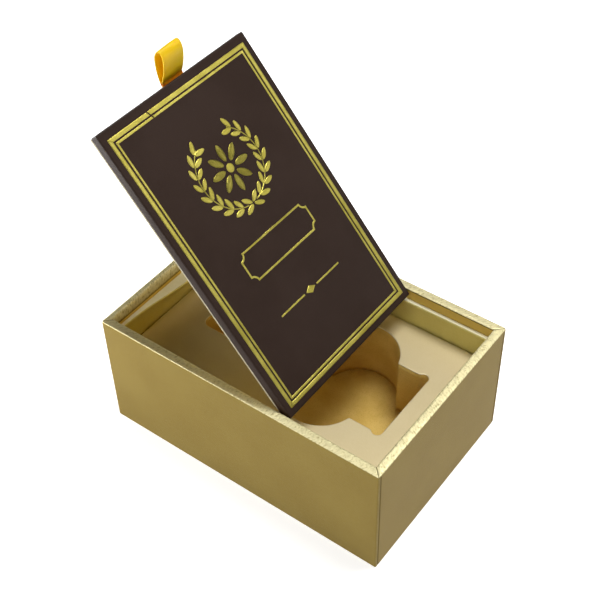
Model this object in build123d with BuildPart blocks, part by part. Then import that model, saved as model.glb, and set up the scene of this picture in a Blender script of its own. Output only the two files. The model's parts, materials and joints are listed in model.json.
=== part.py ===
"""Rigid paper-covered perfume box: tray with ledge and foam insert, loose inset lid with a ribbon pull.

X runs along the box, the ribbon end at -X. Y runs across it and Z is up. The origin is at the centre
of the bottom. The lid stands at a slant in the tray, its lower edge on the two long ledges.
Lengths are in millimetres, angles in degrees.
"""
import os
from math import cos, radians, sin

from build123d import *

os.makedirs("parts", exist_ok=True)

# Tray: outside sizes, boards and papers
box_length = 120.0
box_width = 80.8
box_height = 51.6
wall_board = 2.8
floor_board = 2.5
wrap_paper = 0.2
tape_paper = 0.1
bottom_paper = 0.2
board_ease = 0.5
fold_radius = 0.5
turn_in = 14.0
turn_under = 13.0
bottom_margin = 2.5
tape_width = 14.0
tape_end_gap = 2.0

# Ledge that carries the lid
lid_recess = 4.5
ledge_board = 1.6
ledge_paper = 0.2
ledge_fold_radius = 0.4
ledge_skirt = 22.0

# Insert and its cut-out
insert_drop = 10.1
insert_sheet = 0.4
pad_height = 8.4
insert_clearance = 0.3
well_end_wall = 10.2
well_width = 31.0
ear_radius = 2.1
ear_inset = 2.0
ear_overhang = 1.2
notch_length = 53.6
notch_width = 29.6
cap_slot_length = 29.1
cap_slot_width = 19.4
cap_slot_round = 3.0
cap_slot_end_wall = 14.7

# Lid
lid_clearance = 0.75
lid_board = 3.2
lid_paper = 0.2
lid_flap = 12.0
under_board = 0.9
under_inset = 0.3
lid_tilt = 49.6
lid_foot_from_middle = 18.8
lid_foot_gap = 0.3

# Gold foil on the lid
foil = 0.05
border_side_margin = 2.5
border_low_margin = 2.5
border_high_margin = 3.1
border_wide = 1.5
border_gap = 0.6
border_narrow = 0.8
wreath_from_top = 34.0
wreath_radius = 14.0
wreath_leaf_length = 4.4
wreath_leaf_width = 1.7
wreath_leaf_spread = 1.5
wreath_leaves = 9
wreath_open_angle = 34.0
wreath_leaf_turn = 32.0
stem_width = 0.4
rosette_petals = 8
rosette_petal_length = 7.0
rosette_petal_width = 2.6
rosette_eye = 1.6
panel_from_top = 64.0
panel_length = 36.0
panel_height = 11.0
panel_line = 0.7
panel_corner = 2.2
rule_from_top = 84.0
rule_length = 13.0
rule_line = 0.6
rule_gap = 3.4
lozenge_length = 5.0
lozenge_height = 3.0

# Ribbon
ribbon_width = 10.0
ribbon_off_centre = 3.0
ribbon_thick = 0.3
tail_length = 18.0
tail_clearance = 0.3
loop_height = 14.0
loop_root_radius = 0.5
loop_root_gap = 0.3
loop_top_radius = 2.0

# Heights and plan sizes that follow from the values above
flap_top = bottom_paper + wrap_paper
board_height = box_height - wrap_paper - flap_top
floor_top = flap_top + floor_board
board_inset = wrap_paper + tape_paper
wall = board_inset + wall_board + wrap_paper
skin_length = box_length - 2 * wrap_paper
skin_width = box_width - 2 * wrap_paper
boards_length = box_length - 2 * board_inset
boards_width = box_width - 2 * board_inset
inner_length = box_length - 2 * wall
inner_width = box_width - 2 * wall
ledge_top = box_height - lid_recess
ledge = ledge_board + ledge_paper
insert_top = ledge_top - insert_drop
insert_length = inner_length - 2 * (ledge + insert_clearance)
insert_width = inner_width - 2 * (ledge + insert_clearance)
well_floor = floor_top + pad_height
well_end = insert_length / 2 - well_end_wall
well_length = insert_length - well_end_wall - cap_slot_length - cap_slot_end_wall
well_middle = well_end - well_length / 2
lid_length = inner_length - 2 * lid_clearance
lid_width = inner_width - 2 * lid_clearance
lid_shell = lid_board + 2 * lid_paper
tail_thick = 2 * ribbon_thick

# Wall planes: local x points in from the outer face, local y up, the normal along the wall
WALLS = {
    "front": Plane(origin=(0, -box_width / 2, 0), x_dir=(0, 1, 0), z_dir=(1, 0, 0)),
    "back": Plane(origin=(0, box_width / 2, 0), x_dir=(0, -1, 0), z_dir=(-1, 0, 0)),
    "left": Plane(origin=(-box_length / 2, 0, 0), x_dir=(1, 0, 0), z_dir=(0, -1, 0)),
    "right": Plane(origin=(box_length / 2, 0, 0), x_dir=(-1, 0, 0), z_dir=(0, 1, 0)),
}
LONG_WALLS = ("front", "back")

# Lid directions: up its slope, and out of its top face
slope = Vector(-cos(radians(lid_tilt)), 0, sin(radians(lid_tilt)))
outward = Vector(sin(radians(lid_tilt)), 0, cos(radians(lid_tilt)))
lid_foot = Vector(lid_foot_from_middle, 0, ledge_top + lid_foot_gap)
lid_low_edge = lid_foot + outward * (lid_shell + under_board)
lid_plane = Plane(origin=lid_low_edge + slope * (lid_length / 2), x_dir=slope, z_dir=outward)


def save(part, name):
    """Label one finished piece and write it."""
    part.label = name
    export_step(part, f"parts/{name}.step")


def upright_board(plane, run, inset, thickness, bottom, height):
    """A board that stands along one wall, with eased edges."""
    with BuildPart() as board:
        with BuildSketch(plane):
            with Locations((inset + thickness / 2, bottom + height / 2)):
                Rectangle(thickness, height)
        extrude(amount=run / 2, both=True)
        fillet(board.edges(), radius=board_ease)
    return board.part


def folded_paper(plane, run, points, paper, radius, reach):
    """Paper folded along one wall, thickened in from its outer line and mitred at the corners."""
    plan = Plane(origin=plane.origin, x_dir=plane.z_dir, z_dir=(0, 0, 1))
    with BuildPart() as sheet:
        with BuildSketch(plane):
            with BuildLine():
                FilletPolyline(*points, radius=radius)
                offset(amount=paper, side=Side.RIGHT)
            make_face()
        extrude(amount=run / 2, both=True)
        with BuildSketch(plan):
            with BuildLine():
                Polyline(
                    (-run / 2, 0),
                    (run / 2, 0),
                    (run / 2 - reach, reach),
                    (reach - run / 2, reach),
                    close=True,
                )
            make_face()
        extrude(amount=box_height, mode=Mode.INTERSECT)
    return sheet.part


# Tray floor
with BuildPart() as floor:
    with BuildSketch(Plane.XY.offset(flap_top)):
        Rectangle(boards_length - 2 * wall_board, boards_width - 2 * wall_board)
    extrude(amount=floor_board)
save(floor.part, "floor_board")

# Bottom sheet, which the box stands on
with BuildPart() as bottom_sheet:
    with BuildSketch():
        Rectangle(box_length - 2 * bottom_margin, box_width - 2 * bottom_margin)
    extrude(amount=bottom_paper)
save(bottom_sheet.part, "bottom_sheet")

# Paper tapes around the four corners of the boards
with BuildPart() as corner_tapes:
    with BuildSketch(Plane.XY.offset(flap_top + tape_end_gap)):
        with GridLocations(skin_length - tape_width, skin_width - tape_width, 2, 2):
            Rectangle(tape_width, tape_width)
        Rectangle(boards_length, boards_width, mode=Mode.SUBTRACT)
    extrude(amount=board_height - 2 * tape_end_gap)
save(corner_tapes.part, "corner_tapes")

# Walls: a board and its gold wrap, then the ledge board and its gold paper
for side, plane in WALLS.items():
    is_long = side in LONG_WALLS
    outer_run = box_length if is_long else box_width
    board_run = boards_length if is_long else boards_width - 2 * wall_board
    ledge_run = inner_length if is_long else inner_width - 2 * ledge_board

    wall_part = upright_board(plane, board_run, board_inset, wall_board, flap_top, board_height)
    save(wall_part, f"{side}_wall_board")

    wrap_line = (
        (turn_under, bottom_paper),
        (0, bottom_paper),
        (0, box_height),
        (wall, box_height),
        (wall, box_height - turn_in),
    )
    wrap_part = folded_paper(plane, outer_run, wrap_line, wrap_paper, fold_radius, turn_under)
    save(wrap_part, f"{side}_wrap")

    ledge_height = ledge_top - ledge_paper - floor_top
    ledge_part = upright_board(plane, ledge_run, wall, ledge_board, floor_top, ledge_height)
    save(ledge_part, f"{side}_ledge_board")

    ledge_line = ((wall, ledge_top), (wall + ledge, ledge_top), (wall + ledge, ledge_top - ledge_skirt))
    paper_part = folded_paper(plane, outer_run, ledge_line, ledge_paper, ledge_fold_radius, wall + ledge)
    save(paper_part, f"{side}_ledge_paper")


def cut_out():
    """Outline of the bottle well: body with corner ears, finger notch across it, and cap slot."""
    slot_end = cap_slot_end_wall - insert_length / 2
    slot_length = well_middle - slot_end
    with BuildSketch() as outline:
        with Locations((well_middle, 0)):
            Rectangle(well_length, well_width)
            SlotOverall(notch_length, notch_width, rotation=90)
        with Locations((slot_end + slot_length / 2, 0)):
            RectangleRounded(slot_length, cap_slot_width, cap_slot_round)
        with Locations((well_end - ear_inset, 0)):
            with GridLocations(0, well_width + 2 * ear_overhang - 2 * ear_radius, 1, 2):
                Circle(ear_radius)
    return outline.sketch


# Insert: pad under the well, foam block and cream face sheet
with BuildPart() as insert_pad:
    with BuildSketch(Plane.XY.offset(floor_top)):
        Rectangle(insert_length, insert_width)
    extrude(amount=pad_height)
save(insert_pad.part, "insert_pad")

for name, bottom, thickness in (
    ("insert_block", well_floor, insert_top - insert_sheet - well_floor),
    ("insert_face_sheet", insert_top - insert_sheet, insert_sheet),
):
    with BuildPart() as layer:
        with BuildSketch(Plane.XY.offset(bottom)):
            Rectangle(insert_length, insert_width)
            add(cut_out(), mode=Mode.SUBTRACT)
        extrude(amount=thickness)
    save(layer.part, name)

# Lid board
with BuildPart() as lid_core:
    with BuildSketch(lid_plane.offset(-lid_paper)):
        Rectangle(lid_length - 2 * lid_paper, lid_width - 2 * lid_paper)
    extrude(amount=-lid_board)
save(lid_core.part, "lid_board")

# Dark wrap: over the top and edges of the lid board, with flaps turned in underneath
with BuildPart() as lid_wrap:
    with BuildSketch(lid_plane):
        Rectangle(lid_length, lid_width)
    extrude(amount=-lid_shell)
    with BuildSketch(lid_plane.offset(-lid_paper)):
        Rectangle(lid_length - 2 * lid_paper, lid_width - 2 * lid_paper)
    extrude(amount=-lid_board, mode=Mode.SUBTRACT)
    with BuildSketch(lid_plane.offset(-lid_shell)):
        Rectangle(lid_length - 2 * lid_flap, lid_width - 2 * lid_flap)
    extrude(amount=lid_paper, mode=Mode.SUBTRACT)
save(lid_wrap.part, "lid_wrap")

# Pale under board, with a pressed pocket for the ribbon's tail
tail_centre = lid_length / 2 - tail_length / 2
with BuildPart() as lid_under:
    with BuildSketch(lid_plane.offset(-lid_shell)):
        Rectangle(lid_length - 2 * under_inset, lid_width - 2 * under_inset)
    extrude(amount=-under_board)
    with BuildSketch(lid_plane.offset(-lid_shell)):
        with Locations((tail_centre, -ribbon_off_centre)):
            Rectangle(tail_length + 2 * tail_clearance, ribbon_width + 2 * tail_clearance)
    extrude(amount=-tail_thick, mode=Mode.SUBTRACT)
save(lid_under.part, "lid_under_board")

# Ribbon tail, doubled and glued in the pocket
with BuildPart() as ribbon_tail:
    with BuildSketch(lid_plane.offset(-lid_shell)):
        with Locations((tail_centre, -ribbon_off_centre)):
            Rectangle(tail_length, ribbon_width)
    extrude(amount=-tail_thick)
save(ribbon_tail.part, "ribbon_tail")

# Ribbon loop: a teardrop that stands upright outside the lid's upper end
loop_root_offset = lid_length / 2 + loop_root_gap + loop_root_radius
loop_root = lid_plane.origin + slope * loop_root_offset - outward * (lid_shell + tail_thick / 2)
loop_plane = Plane(origin=loop_root, x_dir=(1, 0, 0), z_dir=(0, -1, 0)).offset(-ribbon_off_centre)
loop_rise = loop_height - loop_root_radius - loop_top_radius
with BuildPart() as ribbon_loop:
    for inset, mode in ((0, Mode.ADD), (ribbon_thick, Mode.SUBTRACT)):
        with BuildSketch(loop_plane):
            Circle(loop_root_radius - inset)
            with Locations((0, loop_rise)):
                Circle(loop_top_radius - inset)
            make_hull()
        extrude(amount=ribbon_width / 2, both=True, mode=mode)
save(ribbon_loop.part, "ribbon_loop")

# Gold foil borders
border_length = lid_length - border_low_margin - border_high_margin
border_width = lid_width - 2 * border_side_margin
border_shift = (border_low_margin - border_high_margin) / 2
for name, inset, line in (
    ("wide_border_foil", 0, border_wide),
    ("narrow_border_foil", border_wide + border_gap, border_narrow),
):
    with BuildPart() as border:
        with BuildSketch(lid_plane):
            with Locations((border_shift, 0)):
                Rectangle(border_length - 2 * inset, border_width - 2 * inset)
                Rectangle(
                    border_length - 2 * (inset + line),
                    border_width - 2 * (inset + line),
                    mode=Mode.SUBTRACT,
                )
        extrude(amount=foil)
    save(border.part, name)

# Wreath of two leafy stems, open at the top
wreath_plane = lid_plane.shift_origin(lid_plane.origin + slope * (lid_length / 2 - wreath_from_top))
stem_arc = 180 - wreath_open_angle
with BuildPart() as wreath:
    with BuildSketch(wreath_plane):
        for hand in (1, -1):
            with BuildLine():
                CenterArc((0, 0), wreath_radius, 180, -hand * stem_arc)
                offset(amount=stem_width, side=Side.RIGHT if hand == 1 else Side.LEFT)
            make_face()
            for count in range(wreath_leaves):
                bearing = 180 - hand * stem_arc * (count + 1) / wreath_leaves
                for spread in (1, -1):
                    leaf_radius = wreath_radius + spread * wreath_leaf_spread
                    leaf_turn = bearing - hand * (90 - spread * wreath_leaf_turn)
                    with Locations(
                        (leaf_radius * cos(radians(bearing)), leaf_radius * sin(radians(bearing)))
                    ):
                        Ellipse(wreath_leaf_length / 2, wreath_leaf_width / 2, rotation=leaf_turn)
    extrude(amount=foil)
save(wreath.part, "wreath_foil")

# Rosette inside the wreath
with BuildPart() as rosette:
    with BuildSketch(wreath_plane):
        with PolarLocations(rosette_eye + rosette_petal_length / 2, rosette_petals):
            Ellipse(rosette_petal_length / 2, rosette_petal_width / 2)
        Circle(rosette_eye + rosette_petal_width / 2, mode=Mode.SUBTRACT)
        Circle(rosette_eye)
    extrude(amount=foil)
save(rosette.part, "rosette_foil")

# Bare panel frame with cut-in corners
panel_plane = lid_plane.shift_origin(lid_plane.origin + slope * (lid_length / 2 - panel_from_top))
with BuildPart() as panel:
    with BuildSketch(panel_plane):
        for inset, mode in ((0, Mode.ADD), (panel_line, Mode.SUBTRACT)):
            with BuildSketch(mode=Mode.PRIVATE) as field:
                Rectangle(panel_height - 2 * inset, panel_length - 2 * inset)
                with GridLocations(panel_height, panel_length, 2, 2):
                    Circle(panel_corner + inset, mode=Mode.SUBTRACT)
            add(field.sketch, mode=mode)
    extrude(amount=foil)
save(panel.part, "panel_foil")

# Rule: two lines with a lozenge between them
rule_plane = lid_plane.shift_origin(lid_plane.origin + slope * (lid_length / 2 - rule_from_top))
with BuildPart() as rule:
    with BuildSketch(rule_plane):
        with GridLocations(0, 2 * rule_gap + rule_length, 1, 2):
            Rectangle(rule_line, rule_length)
        with BuildLine():
            Polyline(
                (-lozenge_height / 2, 0),
                (0, -lozenge_length / 2),
                (lozenge_height / 2, 0),
                (0, lozenge_length / 2),
                close=True,
            )
        make_face()
    extrude(amount=foil)
save(rule.part, "rule_foil")

print("lid foot", tuple(lid_foot))
print("slope", tuple(slope), "outward", tuple(outward))
print("lid centre", tuple(lid_plane.origin))
print("loop root", tuple(loop_root))
print("ledge top", ledge_top, "insert top", insert_top, "well floor", well_floor, "well end", well_end)
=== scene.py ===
"""Looks of a rigid perfume box: paper-covered tray, foam insert, loose lid with gold foil, ribbon pull.

Shapes are worked out in millimetres and turned into metres when a piece is made. X runs along the
box with the ribbon end at -X, Y runs across it, Z is up and the tray stands on Z = 0.
"""

import json
import logging
import math
from dataclasses import dataclass, field
from enum import Enum
from typing import Any, Sequence

import bpy
import numpy as np
from mathutils import Matrix, Quaternion, Vector, geometry, noise


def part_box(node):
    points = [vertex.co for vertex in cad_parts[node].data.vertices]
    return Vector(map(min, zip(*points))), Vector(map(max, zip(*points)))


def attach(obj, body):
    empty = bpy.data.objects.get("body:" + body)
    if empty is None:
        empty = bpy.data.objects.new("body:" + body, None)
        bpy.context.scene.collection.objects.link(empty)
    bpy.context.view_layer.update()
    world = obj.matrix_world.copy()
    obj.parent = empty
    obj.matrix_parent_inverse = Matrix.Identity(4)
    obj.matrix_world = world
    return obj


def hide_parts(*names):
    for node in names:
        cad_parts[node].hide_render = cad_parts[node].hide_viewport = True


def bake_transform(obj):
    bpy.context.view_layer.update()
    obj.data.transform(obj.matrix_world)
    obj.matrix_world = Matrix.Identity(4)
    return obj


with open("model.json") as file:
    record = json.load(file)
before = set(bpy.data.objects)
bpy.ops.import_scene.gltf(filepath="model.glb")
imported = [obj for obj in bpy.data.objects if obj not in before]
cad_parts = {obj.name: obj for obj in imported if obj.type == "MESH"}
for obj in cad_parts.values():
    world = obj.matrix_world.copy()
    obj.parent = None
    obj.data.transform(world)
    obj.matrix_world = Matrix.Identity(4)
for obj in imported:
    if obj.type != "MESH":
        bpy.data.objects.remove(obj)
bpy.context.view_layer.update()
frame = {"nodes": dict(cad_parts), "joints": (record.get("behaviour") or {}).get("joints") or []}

MM = 0.001
TINY = 1e-12
UP = np.array([0.0, 0.0, 1.0])
LOG = logging.getLogger("perfume_box")
Colour = tuple[float, float, float]
Place = tuple[float, float, float]
Step = tuple[float, float, float]
Span = tuple[float, float]
Socket = bpy.types.NodeSocket


class Body(str, Enum):
    """Bodies of the frame that pieces ride on."""

    TRAY = "tray"
    LID = "lid"
    RIBBON = "ribbon"


class Slot(str, Enum):
    """Material slots of the record."""

    GREYBOARD = "greyboard"
    GOLD_PAPER = "gold_paper"
    FOAM = "foam"
    CREAM_SHEET = "cream_sheet"
    DARK_PAPER = "dark_paper"
    PALE_BOARD = "pale_board"
    GOLD_FOIL = "gold_foil"
    SATIN_RIBBON = "satin_ribbon"


class PatternSpace(Enum):
    """Where a finish reads its pattern: along the sheet that was folded, or in the object's space."""

    SHEET = "sheet"
    OBJECT = "object"


# Meshes


def node_points(node: str) -> np.ndarray:
    """Points of a CAD node in millimetres, one row each."""
    return np.array([v.co for v in frame["nodes"][node].data.vertices]) / MM


def node_box(node: str) -> tuple[np.ndarray, np.ndarray]:
    """Lowest and highest corner of a CAD node in millimetres."""
    low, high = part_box(node)
    return np.array(low) / MM, np.array(high) / MM


def wave(places: np.ndarray, seed: float) -> np.ndarray:
    """Smooth noise at many places.

    Args:
        places: Array whose last axis holds two coordinates.
        seed: Third coordinate of the noise, which picks one pattern.

    Returns:
        Noise from about -1 to 1, in the shape of the places.
    """
    flat = places.reshape(-1, 2)
    values = [noise.noise((float(a), float(b), seed)) for a, b in flat]
    return np.array(values).reshape(places.shape[:-1])


def run_along(points: np.ndarray) -> np.ndarray:
    """Distance of each point along the line through all of them."""
    steps = np.linalg.norm(np.diff(points, axis=0), axis=1)
    return np.concatenate([[0.0], np.cumsum(steps)])


def new_object(name: str, data: bpy.types.ID) -> bpy.types.Object:
    """Put an object with its data into the scene.

    Args:
        name: Name of the object.
        data: Its mesh, lamp or camera.

    Returns:
        The new object.
    """
    made = bpy.data.objects.new(name, data)
    bpy.context.scene.collection.objects.link(made)
    return made


class Draft:
    """Collects the points, faces and surface marks of one piece, in millimetres.

    Three marks go with each point: its place on the flat sheet; its fold mark, which is 1 on a worn fold
    and where a highlight is painted, 0 where the sheet is flat, -1 on a turned-in flap that is painted
    lighter in place of the light it gets, and which on the ribbon holds the painted shade near the lid; and
    how much painted shade it gets in a seam or mitre crease.
    """

    def __init__(self) -> None:
        """Start with nothing."""
        self.points: list[np.ndarray] = []
        self.places: list[np.ndarray] = []
        self.folds: list[np.ndarray] = []
        self.seam_shades: list[np.ndarray] = []
        self.faces: list[list[int]] = []
        self.count = 0

    def add_points(
        self, points: np.ndarray, places: np.ndarray, folds: Any = 0.0, seam_shades: Any = 0.0
    ) -> np.ndarray:
        """Add points with their marks.

        Args:
            points: Array whose last axis holds three coordinates.
            places: Array whose last axis holds the two coordinates on the sheet.
            folds: Fold mark of each point, from -1 to 1.
            seam_shades: Painted shade of each point in a seam or mitre crease, from 0 to 1.

        Returns:
            Numbers of the new points, in the shape of the array.
        """
        shape = points.shape[:-1]
        self.points.append(points.reshape(-1, 3))
        self.places.append(places.reshape(-1, 2))
        self.folds.append(np.broadcast_to(folds, shape).reshape(-1))
        self.seam_shades.append(np.broadcast_to(seam_shades, shape).reshape(-1))
        numbers = np.arange(int(np.prod(shape))).reshape(shape) + self.count
        self.count += numbers.size
        return numbers

    def add_quads(self, numbers: np.ndarray, closed: bool = False) -> None:
        """Join rows and columns of points with four-sided faces.

        Args:
            numbers: Point numbers in rows and columns.
            closed: Whether the last column joins the first.
        """
        if closed:
            numbers = np.concatenate([numbers, numbers[:, :1]], axis=1)
        corners = (numbers[:-1, :-1], numbers[:-1, 1:], numbers[1:, 1:], numbers[1:, :-1])
        self.faces.extend(np.stack(corners, axis=-1).reshape(-1, 4).tolist())

    def add_grid(self, points: np.ndarray, places: np.ndarray, folds: Any = 0.0, seam_shades: Any = 0.0) -> None:
        """Add a surface whose points and marks are given in rows and columns."""
        self.add_quads(self.add_points(points, places, folds, seam_shades))

    def add_loops(
        self, loops: Sequence[np.ndarray], folds: Sequence[float] | None = None
    ) -> list[np.ndarray]:
        """Add closed loops of points, each joined to the next.

        Args:
            loops: Loops with the same number of points.
            folds: Fold mark of each loop, or None where nothing is folded.

        Returns:
            Point numbers of each loop.
        """
        stack = np.stack(loops)
        marks = np.zeros(len(stack)) if folds is None else np.array(folds)
        numbers = self.add_points(stack, stack[..., :2], marks[:, None])
        self.add_quads(numbers, closed=True)
        return list(numbers)

    def fill(self, loops: Sequence[np.ndarray], up: bool) -> None:
        """Fill the flat area inside the first loop and outside the others.

        Args:
            loops: Point numbers of the loops.
            up: Whether the faces look up.
        """
        every = np.concatenate(self.points)
        numbers = np.concatenate(loops)
        outlines = [[Vector((*every[n][:2], 0)) for n in loop] for loop in loops]
        for triangle in geometry.tessellate_polygon(outlines):
            a, b, c = (int(numbers[k]) for k in triangle)
            turn = np.cross(every[b][:2] - every[a][:2], every[c][:2] - every[a][:2])
            self.faces.append([a, b, c] if (turn > 0) == up else [a, c, b])

    def fill_ends(self, outer: Sequence[np.ndarray], inner: Sequence[np.ndarray]) -> None:
        """Fill the two faces between a rim, given from the bottom up, and a hole, given from the top down."""
        self.fill([outer[-1], inner[0]], up=True)
        self.fill([outer[0], inner[-1]], up=False)

    def make(self, name: str, finish: bpy.types.Material) -> bpy.types.Object:
        """Turn the draft into an object at the origin.

        Args:
            name: Name of the piece.
            finish: Its material.

        Returns:
            The new object.
        """
        mesh = bpy.data.meshes.new(name)
        mesh.from_pydata((np.concatenate(self.points) * MM).tolist(), [], self.faces)
        sheet_place = mesh.attributes.new("sheet_place", "FLOAT_VECTOR", "POINT")
        flat = np.concatenate(self.places)
        padded = np.column_stack([flat, np.zeros(len(flat))])
        sheet_place.data.foreach_set("vector", padded.astype(np.float32).ravel())
        for label, marks in (("fold", self.folds), ("seam", self.seam_shades)):
            mark = mesh.attributes.new(label, "FLOAT", "POINT")
            mark.data.foreach_set("value", np.concatenate(marks).astype(np.float32))
        mesh.materials.append(finish)
        mesh.shade_smooth()
        return new_object(name, mesh)


def apply_modifiers(piece: bpy.types.Object) -> None:
    """Turn a piece and its modifiers into a plain mesh.

    Args:
        piece: The piece to settle.
    """
    graph = bpy.context.evaluated_depsgraph_get()
    shaped = piece.evaluated_get(graph)
    finished = bpy.data.meshes.new_from_object(shaped, preserve_all_data_layers=True, depsgraph=graph)
    rough = piece.data
    piece.modifiers.clear()
    piece.data = finished
    bpy.data.meshes.remove(rough)
    finished.name = piece.name


def thicken(piece: bpy.types.Object, thickness: float, offset: float = -1.0) -> None:
    """Give a sheet its thickness.

    Args:
        piece: The sheet.
        thickness: Its thickness in millimetres.
        offset: -1 thickens against the faces' normals, 1 along them, 0 both ways.
    """
    solid = piece.modifiers.new("thickness", "SOLIDIFY")
    solid.thickness = thickness * MM
    solid.offset = offset
    apply_modifiers(piece)


def settle(piece: bpy.types.Object, body: Body, node: str) -> None:
    """Put a piece on its body and hide the CAD node it stands for.

    Args:
        piece: The finished piece.
        body: Body that carries it.
        node: CAD node that it replaces.
    """
    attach(piece, body.value)
    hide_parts(node)
    LOG.info("%s rides on %s, faces %d", piece.name, body.value, len(piece.data.polygons))


def dress_node(node: str, finish: bpy.types.Material) -> None:
    """Give a CAD node that stays in view its finish.

    Args:
        node: Name of the node.
        finish: Its material.
    """
    mesh = frame["nodes"][node].data
    mesh.materials.clear()
    mesh.materials.append(finish)


# Shader building blocks


class Graph:
    """A node tree that is being filled."""

    def __init__(self, tree: bpy.types.NodeTree) -> None:
        """Keep the tree to fill."""
        self.tree = tree

    def put(self, socket: Socket, value: Any) -> None:
        """Link a socket to another one, or set its value.

        Args:
            socket: Input socket.
            value: Output socket to link, or a plain value.
        """
        if isinstance(value, bpy.types.NodeSocket):
            self.tree.links.new(value, socket)
        elif isinstance(value, tuple) and socket.type == "RGBA":
            socket.default_value = (*value, 1.0)
        else:
            socket.default_value = value

    def feed(self, node: bpy.types.Node, inputs: dict[Any, Any]) -> None:
        """Link or set inputs of a node, given by name or number."""
        for key, value in inputs.items():
            self.put(node.inputs[key], value)

    def add(self, kind: str, inputs: dict[Any, Any] | None = None, **settings: Any) -> bpy.types.Node:
        """Add a node.

        Args:
            kind: Node type.
            inputs: Values or sockets for its inputs, by name or number.
            **settings: Settings of the node itself.

        Returns:
            The new node.
        """
        node = self.tree.nodes.new(kind)
        for key, value in settings.items():
            setattr(node, key, value)
        self.feed(node, inputs or {})
        return node

    def math(self, operation: str, a: Any, b: Any = 0.0, clamp: bool = False) -> Socket:
        """Work out a number from two others, kept from 0 to 1 with clamp."""
        node = self.add("ShaderNodeMath", {0: a, 1: b}, operation=operation, use_clamp=clamp)
        return node.outputs[0]

    def times(self, a: Any, b: Any) -> Socket:
        """Multiply two numbers."""
        return self.math("MULTIPLY", a, b)

    def plus(self, a: Any, b: Any) -> Socket:
        """Add two numbers."""
        return self.math("ADD", a, b)

    def fit(self, value: Socket, span: Span, target: Span = (0.0, 1.0)) -> Socket:
        """Fit a number from one range into another, smoothly and without going past its ends."""
        limits = {0: value, 1: span[0], 2: span[1], 3: target[0], 4: target[1]}
        return self.add("ShaderNodeMapRange", limits, interpolation_type="SMOOTHSTEP").outputs[0]

    def mix(self, share: Any, first: Any, second: Any) -> Socket:
        """Mix two colours by the share of the second one."""
        node = self.add("ShaderNodeMix", {0: share, 6: first, 7: second}, data_type="RGBA")
        return node.outputs[2]

    def vector(self, x: Any = 0.0, y: Any = 0.0, z: Any = 0.0) -> Socket:
        """Put three numbers together."""
        return self.add("ShaderNodeCombineXYZ", {0: x, 1: y, 2: z}).outputs[0]

    def scaled(self, place: Socket, factors: Any) -> Socket:
        """Stretch a place by a factor along each axis."""
        return self.add("ShaderNodeVectorMath", {0: place, 1: factors}, operation="MULTIPLY").outputs[0]

    def noise(self, place: Socket, scale: Any, detail: float, roughness: float) -> Socket:
        """Noise from 0 to 1 at a place."""
        inputs = {"Vector": place, "Scale": scale, "Detail": detail, "Roughness": roughness}
        return self.add("ShaderNodeTexNoise", inputs).outputs[0]

    def mark(self, label: str) -> bpy.types.Node:
        """Read a surface mark that a draft has left on the mesh."""
        return self.add("ShaderNodeAttribute", attribute_name=label)

    def bump(self, height: Socket, depth: float, strength: float, normal: Socket | None = None) -> Socket:
        """Turn a height into a normal.

        Args:
            height: Height from 0 to 1.
            depth: Height of 1 in millimetres.
            strength: Strength of the effect.
            normal: Normal to start from.

        Returns:
            The normal's socket.
        """
        inputs = {"Strength": strength, "Distance": depth * MM, "Height": height}
        if normal is not None:
            inputs["Normal"] = normal
        return self.add("ShaderNodeBump", inputs).outputs[0]

    def group(self, tree: bpy.types.NodeTree, inputs: dict[str, Any]) -> Any:
        """Place a node group and give its output sockets."""
        return self.add("ShaderNodeGroup", inputs, node_tree=tree).outputs


def new_group(name: str, numbers: Sequence[str], outputs: Sequence[str]) -> tuple[Graph, Any, bpy.types.Node]:
    """Start a shader node group that reads a place in millimetres.

    Args:
        name: Name of the group.
        numbers: Names of its other inputs, which are numbers.
        outputs: Names of its outputs, which are numbers.

    Returns:
        The graph to fill, the sockets of the group's inputs and its output node.
    """
    tree = bpy.data.node_groups.new(name, "ShaderNodeTree")
    tree.interface.new_socket(name="Place", in_out="INPUT", socket_type="NodeSocketVector")
    for way, names in (("INPUT", numbers), ("OUTPUT", outputs)):
        for key in names:
            tree.interface.new_socket(name=key, in_out=way, socket_type="NodeSocketFloat")
    graph = Graph(tree)
    return graph, graph.add("NodeGroupInput").outputs, graph.add("NodeGroupOutput")


def paper_fibre_group() -> bpy.types.NodeTree:
    """Make the group for the fibres and cloudiness of paper.

    Returns:
        A group that reads the sizes of a fibre and a cloud and puts out a fibre height and a cloudiness.
    """
    graph, source, result = new_group("paper fibre", ("Fibre", "Cloud"), ("Height", "Cloudiness"))
    fine_scale = graph.math("DIVIDE", 1.0, source["Fibre"])
    cloud_scale = graph.math("DIVIDE", 1.0, source["Cloud"])
    fine = graph.noise(source["Place"], fine_scale, detail=3.0, roughness=0.65)
    cloud = graph.noise(source["Place"], cloud_scale, detail=4.0, roughness=0.55)
    graph.feed(result, {"Height": graph.fit(fine, (0.25, 0.75)), "Cloudiness": graph.fit(cloud, (0.3, 0.7))})
    return graph.tree


def emboss_group() -> bpy.types.NodeTree:
    """Make the group for short strokes pressed into paper or foil.

    Returns:
        A group that reads the strokes' length, width and angle and puts out their height.
    """
    graph, source, result = new_group("pressed strokes", ("Length", "Width", "Angle"), ("Height",))
    turn = {"Vector": source["Place"], "Angle": source["Angle"]}
    turned = graph.add("ShaderNodeVectorRotate", turn, rotation_type="Z_AXIS").outputs[0]
    along = graph.math("DIVIDE", 1.0, source["Length"])
    across = graph.math("DIVIDE", 1.0, source["Width"])
    place = graph.scaled(turned, graph.vector(along, across, across))
    strokes = graph.noise(place, 1.0, detail=2.0, roughness=0.5)
    graph.feed(result, {"Height": graph.fit(strokes, (0.35, 0.65))})
    return graph.tree


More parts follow.
